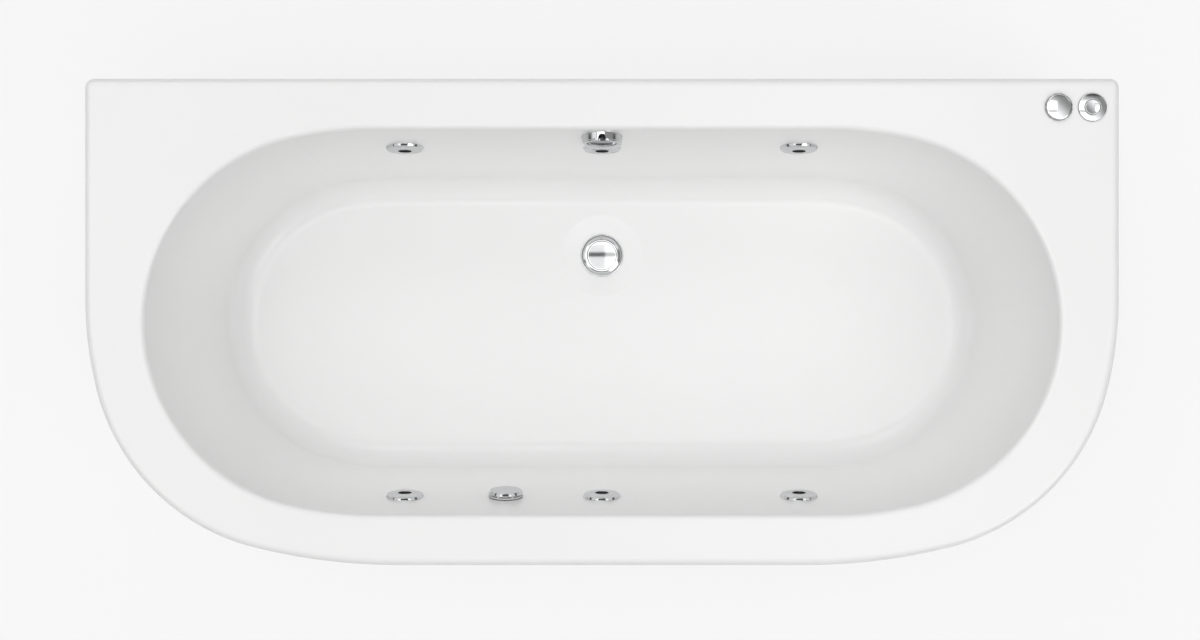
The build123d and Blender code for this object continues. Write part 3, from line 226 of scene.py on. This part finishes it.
def chipBoard(colour, tint, flake):
    # pressed chips of three tones
    def build(start):
        place = objectPlace(start, (1, 1.7, 1))
        cells = {"Vector": place, "Scale": 190.0}
        chips = start.make("ShaderNodeTexVoronoi", {"feature": "F1"}, cells, out=1)
        tone = start.make("ShaderNodeSeparateColor", None, {"Color": chips})
        dust = noise(start, place, 420, 3)
        base = mixColour(start, tone, rgba(colour), rgba(tint))
        base = mixColour(start, dust * 0.35, base, rgba(flake))
        return {
            "Base Color": base,
            "Roughness": 0.78 + dust * 0.12,
            "Normal": bump(start, tone * 0.5 + dust, 0.35, 0.0008),
        }

    return build


plastic = {"IOR": 1.5}
metal = {"Metallic": 1.0}
flatPlating = {"Metallic": 1.0, "Specular Tint": (0.85, 0.85, 0.86, 1)}
# painted shade: a Specular Tint of 0.3 darkens the chrome's reflection towards grazing angles, so the rounded
# edges of the knob, button, bezel and plug show dark rims
paintedDarkRimPlating = {"Metallic": 1.0, "Specular Tint": (0.3, 0.3, 0.31, 1)}
shellSheet = {"IOR": 1.49, "Coat Weight": 0.08, "Coat Roughness": 0.12}
apronSheet = {"IOR": 1.49, "Coat Weight": 0.2, "Coat Roughness": 0.05}
hoseWall = {"IOR": 1.45, "Transmission Weight": 0.35}
enamel = {"IOR": 1.5, "Coat Weight": 0.15}
finishes = {  # fixed values, then the maker with its colour, second colour, roughness and depth of grain
    "white_acrylic": (shellSheet, glossSheet((0.905, 0.905, 0.90), (0.885, 0.885, 0.885), 0.215, 0.05)),
    "apron_acrylic": (apronSheet, glossSheet((0.87, 0.87, 0.865), (0.84, 0.84, 0.84), 0.18, 0.08)),
    "white_moulding": (plastic, moulded((0.78, 0.78, 0.77), (0.72, 0.72, 0.71), 0.42, 0.2)),
    "white_pipe": (plastic, moulded((0.80, 0.80, 0.78), (0.74, 0.74, 0.72), 0.36, 0.08)),
    "grey_moulding": (plastic, moulded((0.22, 0.225, 0.23), (0.28, 0.285, 0.29), 0.45, 0.25)),
    "dark_moulding": (plastic, moulded((0.035, 0.035, 0.04), (0.06, 0.06, 0.065), 0.4, 0.2)),
    "black_moulding": (plastic, moulded((0.02, 0.02, 0.022), (0.035, 0.035, 0.037), 0.42, 0.3)),
    "cowl_moulding": (plastic, moulded((0.025, 0.025, 0.028), (0.045, 0.045, 0.047), 0.5, 0.35)),
    "impeller_moulding": (plastic, moulded((0.12, 0.12, 0.12), (0.18, 0.18, 0.18), 0.5, 0.3)),
    "black_rubber": (plastic, moulded((0.018, 0.018, 0.018), (0.035, 0.035, 0.035), 0.75, 0.3)),
    "black_sheath": (plastic, moulded((0.02, 0.02, 0.02), (0.04, 0.04, 0.04), 0.5, 0.2)),
    "clear_hose": (hoseWall, moulded((0.75, 0.78, 0.78), (0.66, 0.7, 0.7), 0.22, 0.06)),
    "chrome": (flatPlating, plated((0.70, 0.705, 0.71), (0.65, 0.655, 0.665), 0.05)),
    # the next two use the low edge tint above: painted dark rims on the rounded chrome
    "chrome_round": (paintedDarkRimPlating, plated((0.69, 0.695, 0.7), (0.64, 0.645, 0.655), 0.05)),
    "chrome_plug": (paintedDarkRimPlating, plated((0.69, 0.695, 0.7), (0.64, 0.645, 0.655), 0.04)),
    "bearing_steel": (metal, plated((0.56, 0.56, 0.57), (0.48, 0.48, 0.5), 0.2)),
    "zinc_steel": (metal, zincPlate((0.55, 0.56, 0.57), (0.44, 0.45, 0.46), 0.32)),
    "nut_steel": (metal, zincPlate((0.6, 0.6, 0.58), (0.5, 0.5, 0.47), 0.28)),
    "foot_steel": (metal, zincPlate((0.57, 0.57, 0.57), (0.47, 0.47, 0.47), 0.3)),
    "motor_paint": (enamel, moulded((0.07, 0.085, 0.10), (0.09, 0.105, 0.12), 0.38, 0.3)),
    "softwood": ({}, woodGrain((0.62, 0.44, 0.25), (0.48, 0.31, 0.16), (1.2, 14, 14))),
    "chipboard": ({}, chipBoard((0.50, 0.36, 0.21), (0.36, 0.24, 0.13), (0.62, 0.49, 0.32))),
}
materials = {name: newMaterial(name, fixed, build) for name, (fixed, build) in finishes.items()}
slotOf = {part["node"]: part["material_slot"] for part in frame["record"]["subparts"]}
for name, piece in nodes.items():
    piece.data.materials.clear()
    piece.data.materials.append(materials[slotOf[name]])
print("materials:", len(materials))


def arcPoints(centre, radius, start, end, steps):
    turn = [math.radians(start + (end - start) * i / steps) for i in range(steps + 1)]
    return [(centre[0] + radius * math.cos(a), centre[1] + radius * math.sin(a)) for a in turn]


def softCorners(points, radii, steps=5):
    # rounds each inner corner of an open (r, z) profile by its radius
    result = [points[0]]
    for before, here, after, radius in zip(points, points[1:], points[2:], radii):
        a, b, c = Vector(before), Vector(here), Vector(after)
        inWay, outWay = (a - b).normalized(), (c - b).normalized()
        half = inWay.angle(outWay, math.pi) / 2
        reach = radius / math.tan(half) if radius and half < 1.56 else 0
        reach = min(reach, (a - b).length * 0.49, (c - b).length * 0.49)
        if reach < 1e-9:
            result.append(here)
            continue
        radius = reach * math.tan(half)
        centre = b + (inWay + outWay).normalized() * (radius / math.sin(half))
        first, last = b + inWay * reach - centre, b + outWay * reach - centre
        for i in range(steps + 1):
            spot = first.slerp(last, i / steps) if first.angle(last) > 1e-6 else first
            result.append(tuple(centre + spot))
    result.append(points[-1])
    return result


def addMesh(name, verts, faces, material, body, angle=32):
    mesh = bpy.data.meshes.new(name)
    mesh.from_pydata(verts, [], faces)
    mesh.validate()
    mesh.polygons.foreach_set("use_smooth", [True] * len(mesh.polygons))
    mesh.set_sharp_from_angle(angle=math.radians(angle))
    mesh.materials.append(materials[material])
    piece = bpy.data.objects.new(name, mesh)
    bpy.context.scene.collection.objects.link(piece)
    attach(piece, body)
    return piece


def turnedParts(profile, segments=96, matrix=Matrix.Identity(4), closed=False):
    # spins an (r, z) profile in mm about z, as quads, with single points on the axis
    verts, rings, faces = [], [], []
    for r, z in profile:
        if abs(r) < 1e-6:
            rings.append([len(verts)] * segments)
            verts.append(matrix @ Vector((0, 0, z * 0.001)))
        else:
            rings.append(list(range(len(verts), len(verts) + segments)))
            for i in range(segments):
                a = 2 * math.pi * i / segments
                verts.append(matrix @ (Vector((r * math.cos(a), r * math.sin(a), z)) * 0.001))
    pairs = list(zip(rings, rings[1:])) + ([(rings[-1], rings[0])] if closed else [])
    for low, high in pairs:
        for i in range(segments):
            j = (i + 1) % segments
            face = [low[i], low[j], high[j], high[i]]
            face = [v for k, v in enumerate(face) if v not in face[:k]]
            if len(face) > 2:
                faces.append(face)
    return verts, faces


def ringParts(profileAt, angles, matrix):
    # a closed ring whose (r, z) profile in mm changes with the angle, as quads
    rows = [profileAt(angle) for angle in angles]
    count, verts, faces = len(rows[0]), [], []
    for angle, row in zip(angles, rows):
        for r, z in row:
            verts.append(matrix @ (Vector((r * math.cos(angle), r * math.sin(angle), z)) * 0.001))
    for i in range(len(rows)):
        j = (i + 1) % len(rows)
        for k in range(count):
            n = (k + 1) % count
            faces.append([i * count + k, j * count + k, j * count + n, i * count + n])
    return verts, faces


def joinParts(*parts):
    verts, faces = [], []
    for more, sides in parts:
        faces += [[k + len(verts) for k in side] for side in sides]
        verts += more
    return verts, faces


def turnedPiece(name, profile, matrix, material, body, segments=96, closed=False, angle=32):
    verts, faces = turnedParts(profile, segments, matrix, closed)
    return addMesh(name, verts, faces, material, body, angle)


def jointMatrix(name, across=(1, 0, 0), shift=0.0):
    # a frame at a joint: z along its axis, moved along it by shift (mm)
    joint = joints[name]
    z = Vector(joint["axis"]).normalized()
    x = Vector(across) - z * z.dot(Vector(across))
    x.normalize()
    matrix = Matrix((x, z.cross(x), z)).transposed().to_4x4()
    matrix.translation = Vector(joint["pos_m"]) + z * shift * 0.001
    return matrix


def offNotch(angle, notches):
    # how far an angle is from the middle of the nearest notch
    pitch = 2 * math.pi / notches
    return (angle + pitch / 2) % pitch - pitch / 2


jetNames = [row + "_" + spot for row in ("back", "front") for spot in ("left", "middle", "right")]

capValues = {
    "edge": 31.0,
    "foot": 0.35,
    "wall": 1.0,
    "side": 4.4,
    "bevel": 29.5,
    "top": 7.2,
    "eye": 11.3,
    # radius, depth and width of each turned groove
    "rings": ((26.9, 0.20, 0.40), (23.6, 0.16, 0.35), (19.4, 0.16, 0.35), (15.2, 0.16, 0.35)),
    "sleeve": 19.95,
    "seat": 15.55,
    "ball": -5.0,
    "recess": 29.0,
    "under": 3.7,
}


def capProfile(v):
    crown = v["top"] - v["side"]
    low = [(v["recess"], v["foot"]), (v["edge"], v["foot"]), (v["edge"], v["wall"])]
    start = v["bevel"] - 1.5
    outer = softCorners([*low, (v["bevel"], v["side"]), (start, v["side"] + 0.36)], (0.3, 0.5, 0.5), 6)
    span = start - v["eye"] - 0.6
    face = []
    for i in range(1, 121):
        r = start - span * i / 120
        t = (r - v["eye"] - 0.6) / (v["bevel"] - v["eye"] - 0.6)
        z = v["top"] - crown * t * t
        for place, depth, width in v["rings"]:
            z -= depth * math.exp(-(((r - place) / width) ** 2))
        face.append((r, z))
    lip = arcPoints((v["eye"] + 0.6, v["top"] - 0.6), 0.6, 90, 180, 6)
    seatTop = math.degrees(math.asin(math.sqrt(v["seat"] ** 2 - v["eye"] ** 2) / v["seat"]))
    seat = arcPoints((0, v["ball"]), v["seat"], seatTop, -45, 18)
    inner = [(v["sleeve"], v["ball"] - 11.0), (v["sleeve"], v["under"]), (v["recess"], v["under"])]
    return outer + face + lip[1:] + seat + inner


for name in jetNames:
    place = jointMatrix("jet_" + name + "_flow")
    profile = capProfile(capValues)
    cap = turnedPiece("jetCap." + name, profile, place, "chrome", "jet_cap_" + name, 128, True, 40)
    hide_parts("jet_cap_" + name)

eyeValues = {"ball": 15.5, "front": 8.6, "mouth": 9.8, "nozzle": 5.2, "tube": 6.7, "back": 10.4}


def eyeProfile(v):
    ball, front = v["ball"], v["front"]
    top = math.degrees(math.asin(front / ball))
    tail = math.degrees(math.asin(0.72))
    outside = arcPoints((0, 0), ball, -tail, top, 40)
    lip = arcPoints((outside[-1][0] - 0.9, front - 0.1), 0.5, 60, 120, 4)
    steps = [(v["mouth"] + 0.9, front), (v["mouth"], front - 0.9)]
    steps += [(v["mouth"] - 0.6, front - 2.2), (v["mouth"] - 1.5, front - 2.4)]
    steps += [(v["tube"] + 0.5, front - 6.2), (v["tube"], front - 6.0), (v["tube"], front - 2.6)]
    nozzle = arcPoints(((v["tube"] + v["nozzle"]) / 2, front - 2.6), (v["tube"] - v["nozzle"]) / 2, 0, 180, 8)
    rear = [(v["nozzle"], front - 9), (v["nozzle"], -ball * 0.5)]
    rear += [(v["back"] - 1, -ball * 0.62), (v["back"], -ball * 0.72)]
    return outside + lip + steps + nozzle + rear


for name in jetNames:
    place = jointMatrix("jet_" + name + "_flow", shift=capValues["ball"])
    profile = eyeProfile(eyeValues)
    body = "jet_eyeball_" + name
    eye = turnedPiece("jetEyeball." + name, profile, place, "dark_moulding", body, 96, True, 35)
    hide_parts("jet_eyeball_" + name)
print("jets dressed")

suctionValues = {
    "edge": 28.0,
    "bevel": 26.1,
    "low": 6.0,
    "thick": 5.4,
    "crown": 0.8,
    "fall": 0.55,
    "grooves": ((22.6, 0.14), (8.0, 0.1)),  # radius and depth
    "grooveWidth": 0.35,
    "posts": 6,
    "postPlace": 23.5,
    "postSize": 2.4,
    "flange": 3.4,
}


def suctionMatrix():
    low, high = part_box("suction_cover")
    lean = jointMatrix("jet_front_middle_flow")
    lean.translation.x = (low.x + high.x) / 2
    return lean


def makeSuctionCover(v):
    matrix = suctionMatrix()
    top = v["low"] + v["thick"]
    start = v["bevel"] - 1.2
    corners = [(0, v["low"]), (v["edge"], v["low"]), (v["edge"], v["low"] + 0.8)]
    corners += [(v["bevel"], top - 0.1), (start, top + 0.25)]
    profile = softCorners(corners, (0.3, 0.3, 0.5), 6)
    for i in range(1, 41):
        r = start * (1 - i / 40)
        cuts = [depth * math.exp(-(((r - place) / v["grooveWidth"]) ** 2)) for place, depth in v["grooves"]]
        profile.append((r, top + v["crown"] - v["fall"] * (r / start) ** 2 - sum(cuts)))
    low, high, size = v["flange"], v["low"] + 0.4, v["postSize"]
    post = [(0, low), (size, low), (size - 0.4, high), (0, high)]
    parts = [turnedParts(profile, 128, matrix)]
    for i in range(v["posts"]):
        a = 2 * math.pi * i / v["posts"]
        reach = v["postPlace"] * 0.001
        foot = matrix @ Matrix.Translation((reach * math.cos(a), reach * math.sin(a), 0))
        parts.append(turnedParts(post, 24, foot))
    verts, faces = joinParts(*parts)
    piece = addMesh("suctionCover", verts, faces, "chrome", "bath")
    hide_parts("suction_cover")


makeSuctionCover(suctionValues)

wasteValues = {
    "place": (0.0, 118.0, 201.0),
    "plug": 34.0,
    "face": 25.4,
    "top": 4.4,
    "crown": 1.3,
    "dome": 0.7,
    "low": 1.2,
    "stem": 4.0,
    "stemLow": -46.0,
}


def placeMatrix(place):
    return Matrix.Translation(Vector(place) * 0.001)


def makePlug(v):
    face, top = v["face"], v["top"]
    stem, low = v["stem"], v["stemLow"]
    profile = [(0, low), (stem - 0.6, low), (stem, low + 0.6), (stem, v["low"])]
    under = [(stem, v["low"]), (v["plug"], v["low"]), (v["plug"], v["low"] + 1.4)]
    profile += softCorners(under, (0.4,), 4)[1:]
    ringLow, ringHigh = (v["plug"], v["low"] + 1.4), (face + 0.7, top + v["crown"] - 0.5)
    for i in range(1, 33):
        t = i / 32
        r = ringLow[0] + (ringHigh[0] - ringLow[0]) * t
        z = ringLow[1] + (ringHigh[1] - ringLow[1]) * math.sin(t * math.pi / 2) ** 0.8
        profile.append((r, z))
    profile += [(face + 0.45, top + 0.3), (face + 0.35, top - 0.7)]
    profile += [(face - 0.1, top - 0.7), (face - 0.2, top - 0.25)]
    profile += arcPoints((face - 0.7, top - 0.5), 0.5, 0, 90, 5)
    shares = [1 - i / 24 for i in range(1, 25)]
    profile += [((face - 0.7) * t, top + v["dome"] * (1 - t ** 2)) for t in shares]
    plug = turnedPiece("wastePlug", profile, placeMatrix(v["place"]), "chrome_plug", "waste_plug", 160)
    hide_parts("waste_plug")


makePlug(wasteValues)

overflowValues = {
    "edge": 34.0,
    "face": 32.5,
    "top": 14.3,
    "low": 0.3,
    "wall": 3.0,
    "dome": 1.0,
    "round": 1.5,
    "notches": 4,
    "notchHalf": 6.5,
    "notchLow": 3.8,
    "notchIn": 29.0,
    "boss": 9.0,
    "shaft": 5.0,
    "shaftLow": -22.0,
}


def notchAngles(v, fine=40, coarse=60):
    # fine steps across each notch with a pair of angles at its cheeks, coarse steps between
    half = math.asin(v["notchHalf"] / v["edge"])
    pitch = 2 * math.pi / v["notches"]
    angles = []
    for k in range(v["notches"]):
        middle = k * pitch
        angles += [middle - half + 2 * half * i / fine for i in range(fine + 1)]
        start, span = middle + half + 0.0008, pitch - 2 * half - 0.0016
        angles += [start + span * i / coarse for i in range(coarse + 1)]
    return angles


def makeOverflowKnob(v):
    edge, top, wall = v["edge"], v["top"], v["wall"]
    half = math.asin(v["notchHalf"] / edge)

    def plate(angle):
        inNotch = abs(offNotch(angle, v["notches"])) <= half + 1e-9
        edge = v["face"]
        reach = v["notchIn"] if inNotch else edge - v["round"]
        crown = [(reach * i / 24, top + v["dome"] * (1 - (i / 24 * reach / edge) ** 2)) for i in range(1, 24)]
        if inNotch:
            high = top + v["dome"] * (1 - (reach / edge) ** 2)
            roll = [(reach, high - t * 0.6) for t in (0, 0.2, 0.4, 0.6, 0.8, 1.0, 1.2)]
        else:
            roll = arcPoints((edge - v["round"], top - v["round"]), v["round"], 90, 0, 6)
        low, boss = top - wall, v["boss"]
        return crown + roll + [(roll[-1][0], low), (boss, low), (boss, -8.0), (0.3, -8.0)]

    def rim(angle):
        side = edge * math.sin(offNotch(angle, v["notches"]))
        high = top - wall + 0.05
        if abs(offNotch(angle, v["notches"])) <= half + 1e-9:
            high = v["notchLow"] + v["notchHalf"] - math.sqrt(max(0, v["notchHalf"] ** 2 - side * side))
        slope = (edge - v["face"]) / (top - v["round"] - v["low"])
        outer = edge - slope * (high - v["low"])
        foot = [(edge - wall, v["low"]), (edge, v["low"])]
        return foot + [(outer, high - 0.4), (outer - 0.4, high), (edge - wall, high)]

    matrix = jointMatrix("overflow_knob_turn", (1, 0, 0))
    angles = notchAngles(v)
    shaft, low = v["shaft"], v["shaftLow"]
    stem = [(0, low), (shaft - 0.5, low), (shaft, low + 0.5), (shaft, -7.0), (0, -7.0)]
    rings = [ringParts(plate, angles, matrix), ringParts(rim, angles, matrix)]
    verts, faces = joinParts(*rings, turnedParts(stem, 48, matrix))
    piece = addMesh("overflowKnob", verts, faces, "chrome", "overflow_knob", 30)
    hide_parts("overflow_knob")


makeOverflowKnob(overflowValues)

knobValues = {
    "place": (749.0, 352.5, 580.0),
    "edge": 22.6,
    "top": 8.5,
    "notches": 6,
    "notchOut": 0.8,
    "notch": 2.2,
    "inside": 20.8,
}
buttonValues = {"place": (804.5, 352.5, 580.0), "edge": 12.6, "top": 5.6, "low": -14.0, "dish": 0.45}
bezelValues = {"edge": 23.0, "top": 4.2, "hole": 13.0, "inside": 20.6, "low": 2.0}


def notchLimit(v):
    away = v["edge"] + v["notchOut"]

    def limit(angle):
        off = offNotch(angle, v["notches"])
        side = away * math.sin(off)
        if abs(side) >= v["notch"]:
            return v["edge"] + 1
        return away * math.cos(off) - math.sqrt(v["notch"] ** 2 - side * side)

    return limit


def makeKnob(v):
    edge, top = v["edge"], v["top"]
    profile = [(v["inside"], 0.35), (edge - 0.3, 0.35), (edge, 0.65), (edge, top - 4.5)]
    profile += arcPoints((edge - 4.2, top - 5.2), 4.2, 8, 82, 14)
    last = profile[-1]
    profile += [(last[0] * (1 - i / 20), top - (top - last[1]) * (1 - i / 20) ** 2) for i in range(1, 21)]
    limit = notchLimit(v)
    segments = 720
    verts, faces = turnedParts(profile, segments)
    shaped = []
    for x, y, z in verts:
        r = math.hypot(x, y) * 1000
        most = limit(math.atan2(y, x))
        fade = min(r, most) / r if r > 1e-6 else 1
        shaped.append(Vector((x * fade, y * fade, z)))
    stem = [(0, -40.0), (4.6, -40.0), (5.0, -39.6), (5.0, 2.4), (v["inside"], 2.4), (v["inside"], 0.35)]
    verts, faces = joinParts((shaped, faces), turnedParts(stem, 48))
    matrix = placeMatrix(v["place"])
    knob = addMesh("airKnob", [matrix @ spot for spot in verts], faces, "chrome_round", "air_knob", 30)
    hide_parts("air_knob")


def makeButton(v):
    edge, top = v["edge"], v["top"]
    profile = softCorners([(0, v["low"]), (edge, v["low"]), (edge, top), (edge - 2.0, top)], (0.6, 0.9), 6)
    shares = [1 - i / 24 for i in range(1, 25)]
    profile += [((edge - 2.0) * t, top - v["dish"] * (1 - t ** 2)) for t in shares]
    matrix = placeMatrix(v["place"])
    piece = turnedPiece("switchButton", profile, matrix, "chrome_round", "switch_button", 128)
    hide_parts("switch_button")


def makeBezel(v, place):
    edge, top, hole = v["edge"], v["top"], v["hole"]
    corners = [(v["inside"], 0.3), (edge, 0.3), (edge, top - 1.5), (edge - 0.9, top - 0.75)]
    corners += [(hole + 0.8, top), (hole, top - 0.7), (hole, v["low"])]
    profile = softCorners(corners, (0.25, 0.5, 0.8, 0.5, 0.4), 6) + [(v["inside"], v["low"])]
    piece = turnedPiece("switchBezel", profile, placeMatrix(place), "chrome_round", "bath", 128, True)
    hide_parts("switch_bezel")


makeKnob(knobValues)
makeButton(buttonValues)
makeBezel(bezelValues, buttonValues["place"])
print("waste, suction and controls dressed")

footValues = {
    "rod": 6.0,
    "pitch": 1.75,
    "depth": 0.85,
    "top": 178.0,
    "pad": 25.0,
    "padTop": 14.0,
    "spread": (560.0, 180.0),
}


def threadParts(radius, pitch, depth, low, high, steps=28):
    # an open helical strip with flat crests, laid around the core of the rod
    outline = [(0.0, radius - depth), (0.42, radius), (0.58, radius), (1.0, radius - depth)]
    turns = int((high - low) / pitch)
    verts, faces = [], []
    total = turns * steps
    for i in range(total + 1):
        a = 2 * math.pi * i / steps
        base = low + pitch * i / steps
        for share, r in outline:
            z = min(high, max(low, base + (share - 0.5) * pitch))
            verts.append(Vector((r * math.cos(a), r * math.sin(a), z)) * 0.001)
    for i in range(total):
        for k in range(3):
            a = i * 4 + k
            faces.append((a, a + 4, a + 5, a + 1))
    return verts, faces


def makeFoot(name, v):
    x = v["spread"][0] * (-1 if "left" in name else 1)
    y = v["spread"][1] * (-1 if "front" in name else 1)
    matrix = placeMatrix((x, y, 0))
    pad, top, rod = v["pad"], v["padTop"], v["rod"]
    profile = softCorners([(0, 0), (pad, 0), (pad, 4.2), (pad - 4, 5.2)], (0.8, 1.0), 4)
    profile = [(r, max(0, z)) for r, z in profile]  # nothing under the floor
    profile += [(pad - 4 - 10 * t, 5.2 + (top - 1.4 - 5.2) * t ** 1.6) for t in (0.2, 0.4, 0.6, 0.8, 1.0)]
    profile += [(pad - 14.4, top - 0.4), (rod + 3.8, top), (rod - v["depth"] - 0.05, top)]
    profile += [(rod - v["depth"] - 0.05, v["top"] - 0.6), (rod - v["depth"] - 1.2, v["top"]), (0, v["top"])]
    verts, faces = joinParts(
        turnedParts(profile, 64),
        threadParts(rod, v["pitch"], v["depth"], top + 1.0, v["top"] - 1.0),
    )
    piece = addMesh("foot." + name, [matrix @ spot for spot in verts], faces, "foot_steel", "foot_" + name)
    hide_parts("foot_" + name)


for name in ("front_left", "front_right", "back_left", "back_right"):
    makeFoot(name, footValues)
print("feet dressed")

stageValues = {
    "floorSize": 14.0,
    "floorColour": (0.8, 0.8, 0.8),
    "floorSeen": 0.78,  # how far the camera sees the floor as plain white
    "floorMirrored": 0.45,  # and how far metal and glass do
    "horizon": 0.1,
    "horizonTop": (0.3, 0.42),
    "zenith": (2.15, 0.36),  # light of the sky overhead, from its front left to its back right
    "zenithSpan": (-0.14, 0.36),
    "sides": (0.55, 0.33),  # light at the left and the right
    "sideStart": (0.45, 0.6),
    "hole": (0.125, 0.12),  # half width of the dark card overhead and its light
    # start and light of the dark card, the white panels and the dark ends, in front and behind
    "strips": ((0.0, 0.1), (0.43, 1.5), (0.9, 0.14)),
    "stripStart": (0.28, 0.32),
    "panels": 0.86,
    "panelStart": (0.5, 0.6),
}

lampValues = {  # place, power, width and depth; the overhead ones face down, the others the bath
    "overheadBack": ((-0.33, 0.98, 6.6), 3.9, 1.06, 1.06),
    "overheadFront": ((-0.33, -0.43, 6.6), 4.6, 1.06, 1.26),
    "overheadRightBack": ((0.85, 0.98, 6.6), 8.3, 1.3, 1.06),
    "overheadRightFront": ((0.85, -0.43, 6.6), 9.8, 1.3, 1.26),
    "overheadMiddle": ((0.85, 0.325, 6.6), 0.6, 1.3, 0.25),
    "keyBack": ((-1.4, 4.8, 6.4), 38.0, 3.0, 3.0),
    "keyLeft": ((-5.0, 0.5, 5.5), 15.0, 3.0, 3.0),
    "nearFill": ((2.6, -2.2, 4.5), 34.0, 2.5, 2.5),
}


def makeFloor(values):
    size = values["floorSize"]
    mesh = bpy.data.meshes.new("studioFloor")
    under = -0.0005  # a hair below the feet
    corners = [(-size, -size, under), (size, -size, under), (size, size, under), (-size, size, under)]
    mesh.from_pydata(corners, [], [(0, 1, 2, 3)])
    floor = bpy.data.objects.new("studioFloor", mesh)
    bpy.context.scene.collection.objects.link(floor)
    material = bpy.data.materials.new("floorPaper")
    material.use_nodes = True
    tree = material.node_tree
    tree.nodes.clear()
    start = Wire(tree)
    paper = noise(start, objectPlace(start), 3, 3)
    colour = mixColour(start, paper * 0.1, rgba(values["floorColour"]), rgba((0.74, 0.74, 0.74)))
    matt = start.make("ShaderNodeBsdfDiffuse", None, {"Color": colour})
    white = start.make("ShaderNodeEmission", None, {"Color": (1, 1, 1, 1), "Strength": 1.0})
    path = start.make("ShaderNodeLightPath")
    mirrored = (path.out("Is Glossy Ray") + path.out("Is Transmission Ray")) * values["floorMirrored"]
    seen = path.out("Is Camera Ray") * values["floorSeen"] + mirrored
    mixed = start.make("ShaderNodeMixShader", None, {0: seen, 1: matt, 2: white})
    start.make("ShaderNodeOutputMaterial", None, {"Surface": mixed})
    mesh.materials.append(material)


def rise(wire, start, end):
    settings = {"interpolation_type": "SMOOTHSTEP"}
    return wire.make("ShaderNodeMapRange", settings, {"Value": wire, "From Min": start, "From Max": end})


def blendValues(factor, first, second):
    return first + (second - first) * factor


def makeWorld(values):
    # a light tent in two flat coordinates: u to the right and v to the back of the zenith
    world = bpy.data.worlds.new("studioWorld")
    world.use_nodes = True
    bpy.context.scene.world = world
    tree = world.node_tree
    tree.nodes.clear()
    start = Wire(tree)
    way = start.make("ShaderNodeTexCoord", out=0)
    parts = start.make("ShaderNodeSeparateXYZ", None, {"Vector": way})
    height = parts.out("Z")
    raised = start.math("MAXIMUM", height, 0.05)
    u, v = parts.out("X") / raised, parts.out("Y") / raised
    aside, away = start.math("ABSOLUTE", u, 0.0), start.math("ABSOLUTE", v, 0.0)
    bright, dim = values["zenith"]
    overhead = bright + (dim - bright) * rise((u + v) * 0.7, *values["zenithSpan"])
    left, right = values["sides"]
    side = left + (right - left) * rise(u, -0.1, 0.1)
    row = blendValues(rise(aside, *values["sideStart"]), overhead, side)
    (_, dark), (firstEdge, white), (secondEdge, end) = values["strips"]
    strip = dark + (white - dark) * rise(aside, firstEdge - 0.03, firstEdge + 0.03)
    strip = blendValues(rise(aside, secondEdge - 0.05, secondEdge + 0.05), strip, end)
    reach, card = values["hole"]
    inHole = rise(start.math("MAXIMUM", aside, away), reach, reach - 0.005)
    row = blendValues(inHole, row, card)
    light = blendValues(rise(away, *values["stripStart"]), row, strip)
    light = blendValues(rise(away, *values["panelStart"]), light, values["panels"])
    light = blendValues(rise(height, *values["horizonTop"]), values["horizon"], light)
    shade = start.make("ShaderNodeBackground", None, {"Color": (1, 1, 1, 1), "Strength": light})
    start.make("ShaderNodeOutputWorld", None, {"Surface": shade})


def makeLamp(name, place, power, width, depth):
    lamp = bpy.data.lights.new(name, "AREA")
    lamp.energy = power
    lamp.shape = "RECTANGLE"
    lamp.size = width
    lamp.size_y = depth
    holder = bpy.data.objects.new(name, lamp)
    bpy.context.scene.collection.objects.link(holder)
    holder.location = place
    holder.rotation_mode = "QUATERNION"
    aim = Vector((place[0], place[1], 0.4)) if name.startswith("overhead") else Vector((0, 0, 0.4))
    holder.rotation_quaternion = (aim - Vector(place)).to_track_quat("-Z", "Y")


cameraValues = {"above": 4.5, "rim": 0.58, "width": 1.969, "place": (-0.0033, 0.0033), "sensor": 36.0}


def makeCamera(values):
    camera = bpy.data.cameras.new("photoCamera")
    camera.sensor_width = values["sensor"]
    camera.lens = values["sensor"] * values["above"] / values["width"]
    holder = bpy.data.objects.new("photoCamera", camera)
    bpy.context.scene.collection.objects.link(holder)
    holder.location = (*values["place"], values["rim"] + values["above"])
    holder.rotation_euler = (0, 0, 0)
    bpy.context.scene.camera = holder


makeFloor(stageValues)
makeWorld(stageValues)
for name, values in lampValues.items():
    makeLamp(name, *values)
makeCamera(cameraValues)
bpy.context.scene.view_settings.view_transform = "Standard"
print("stage ready")
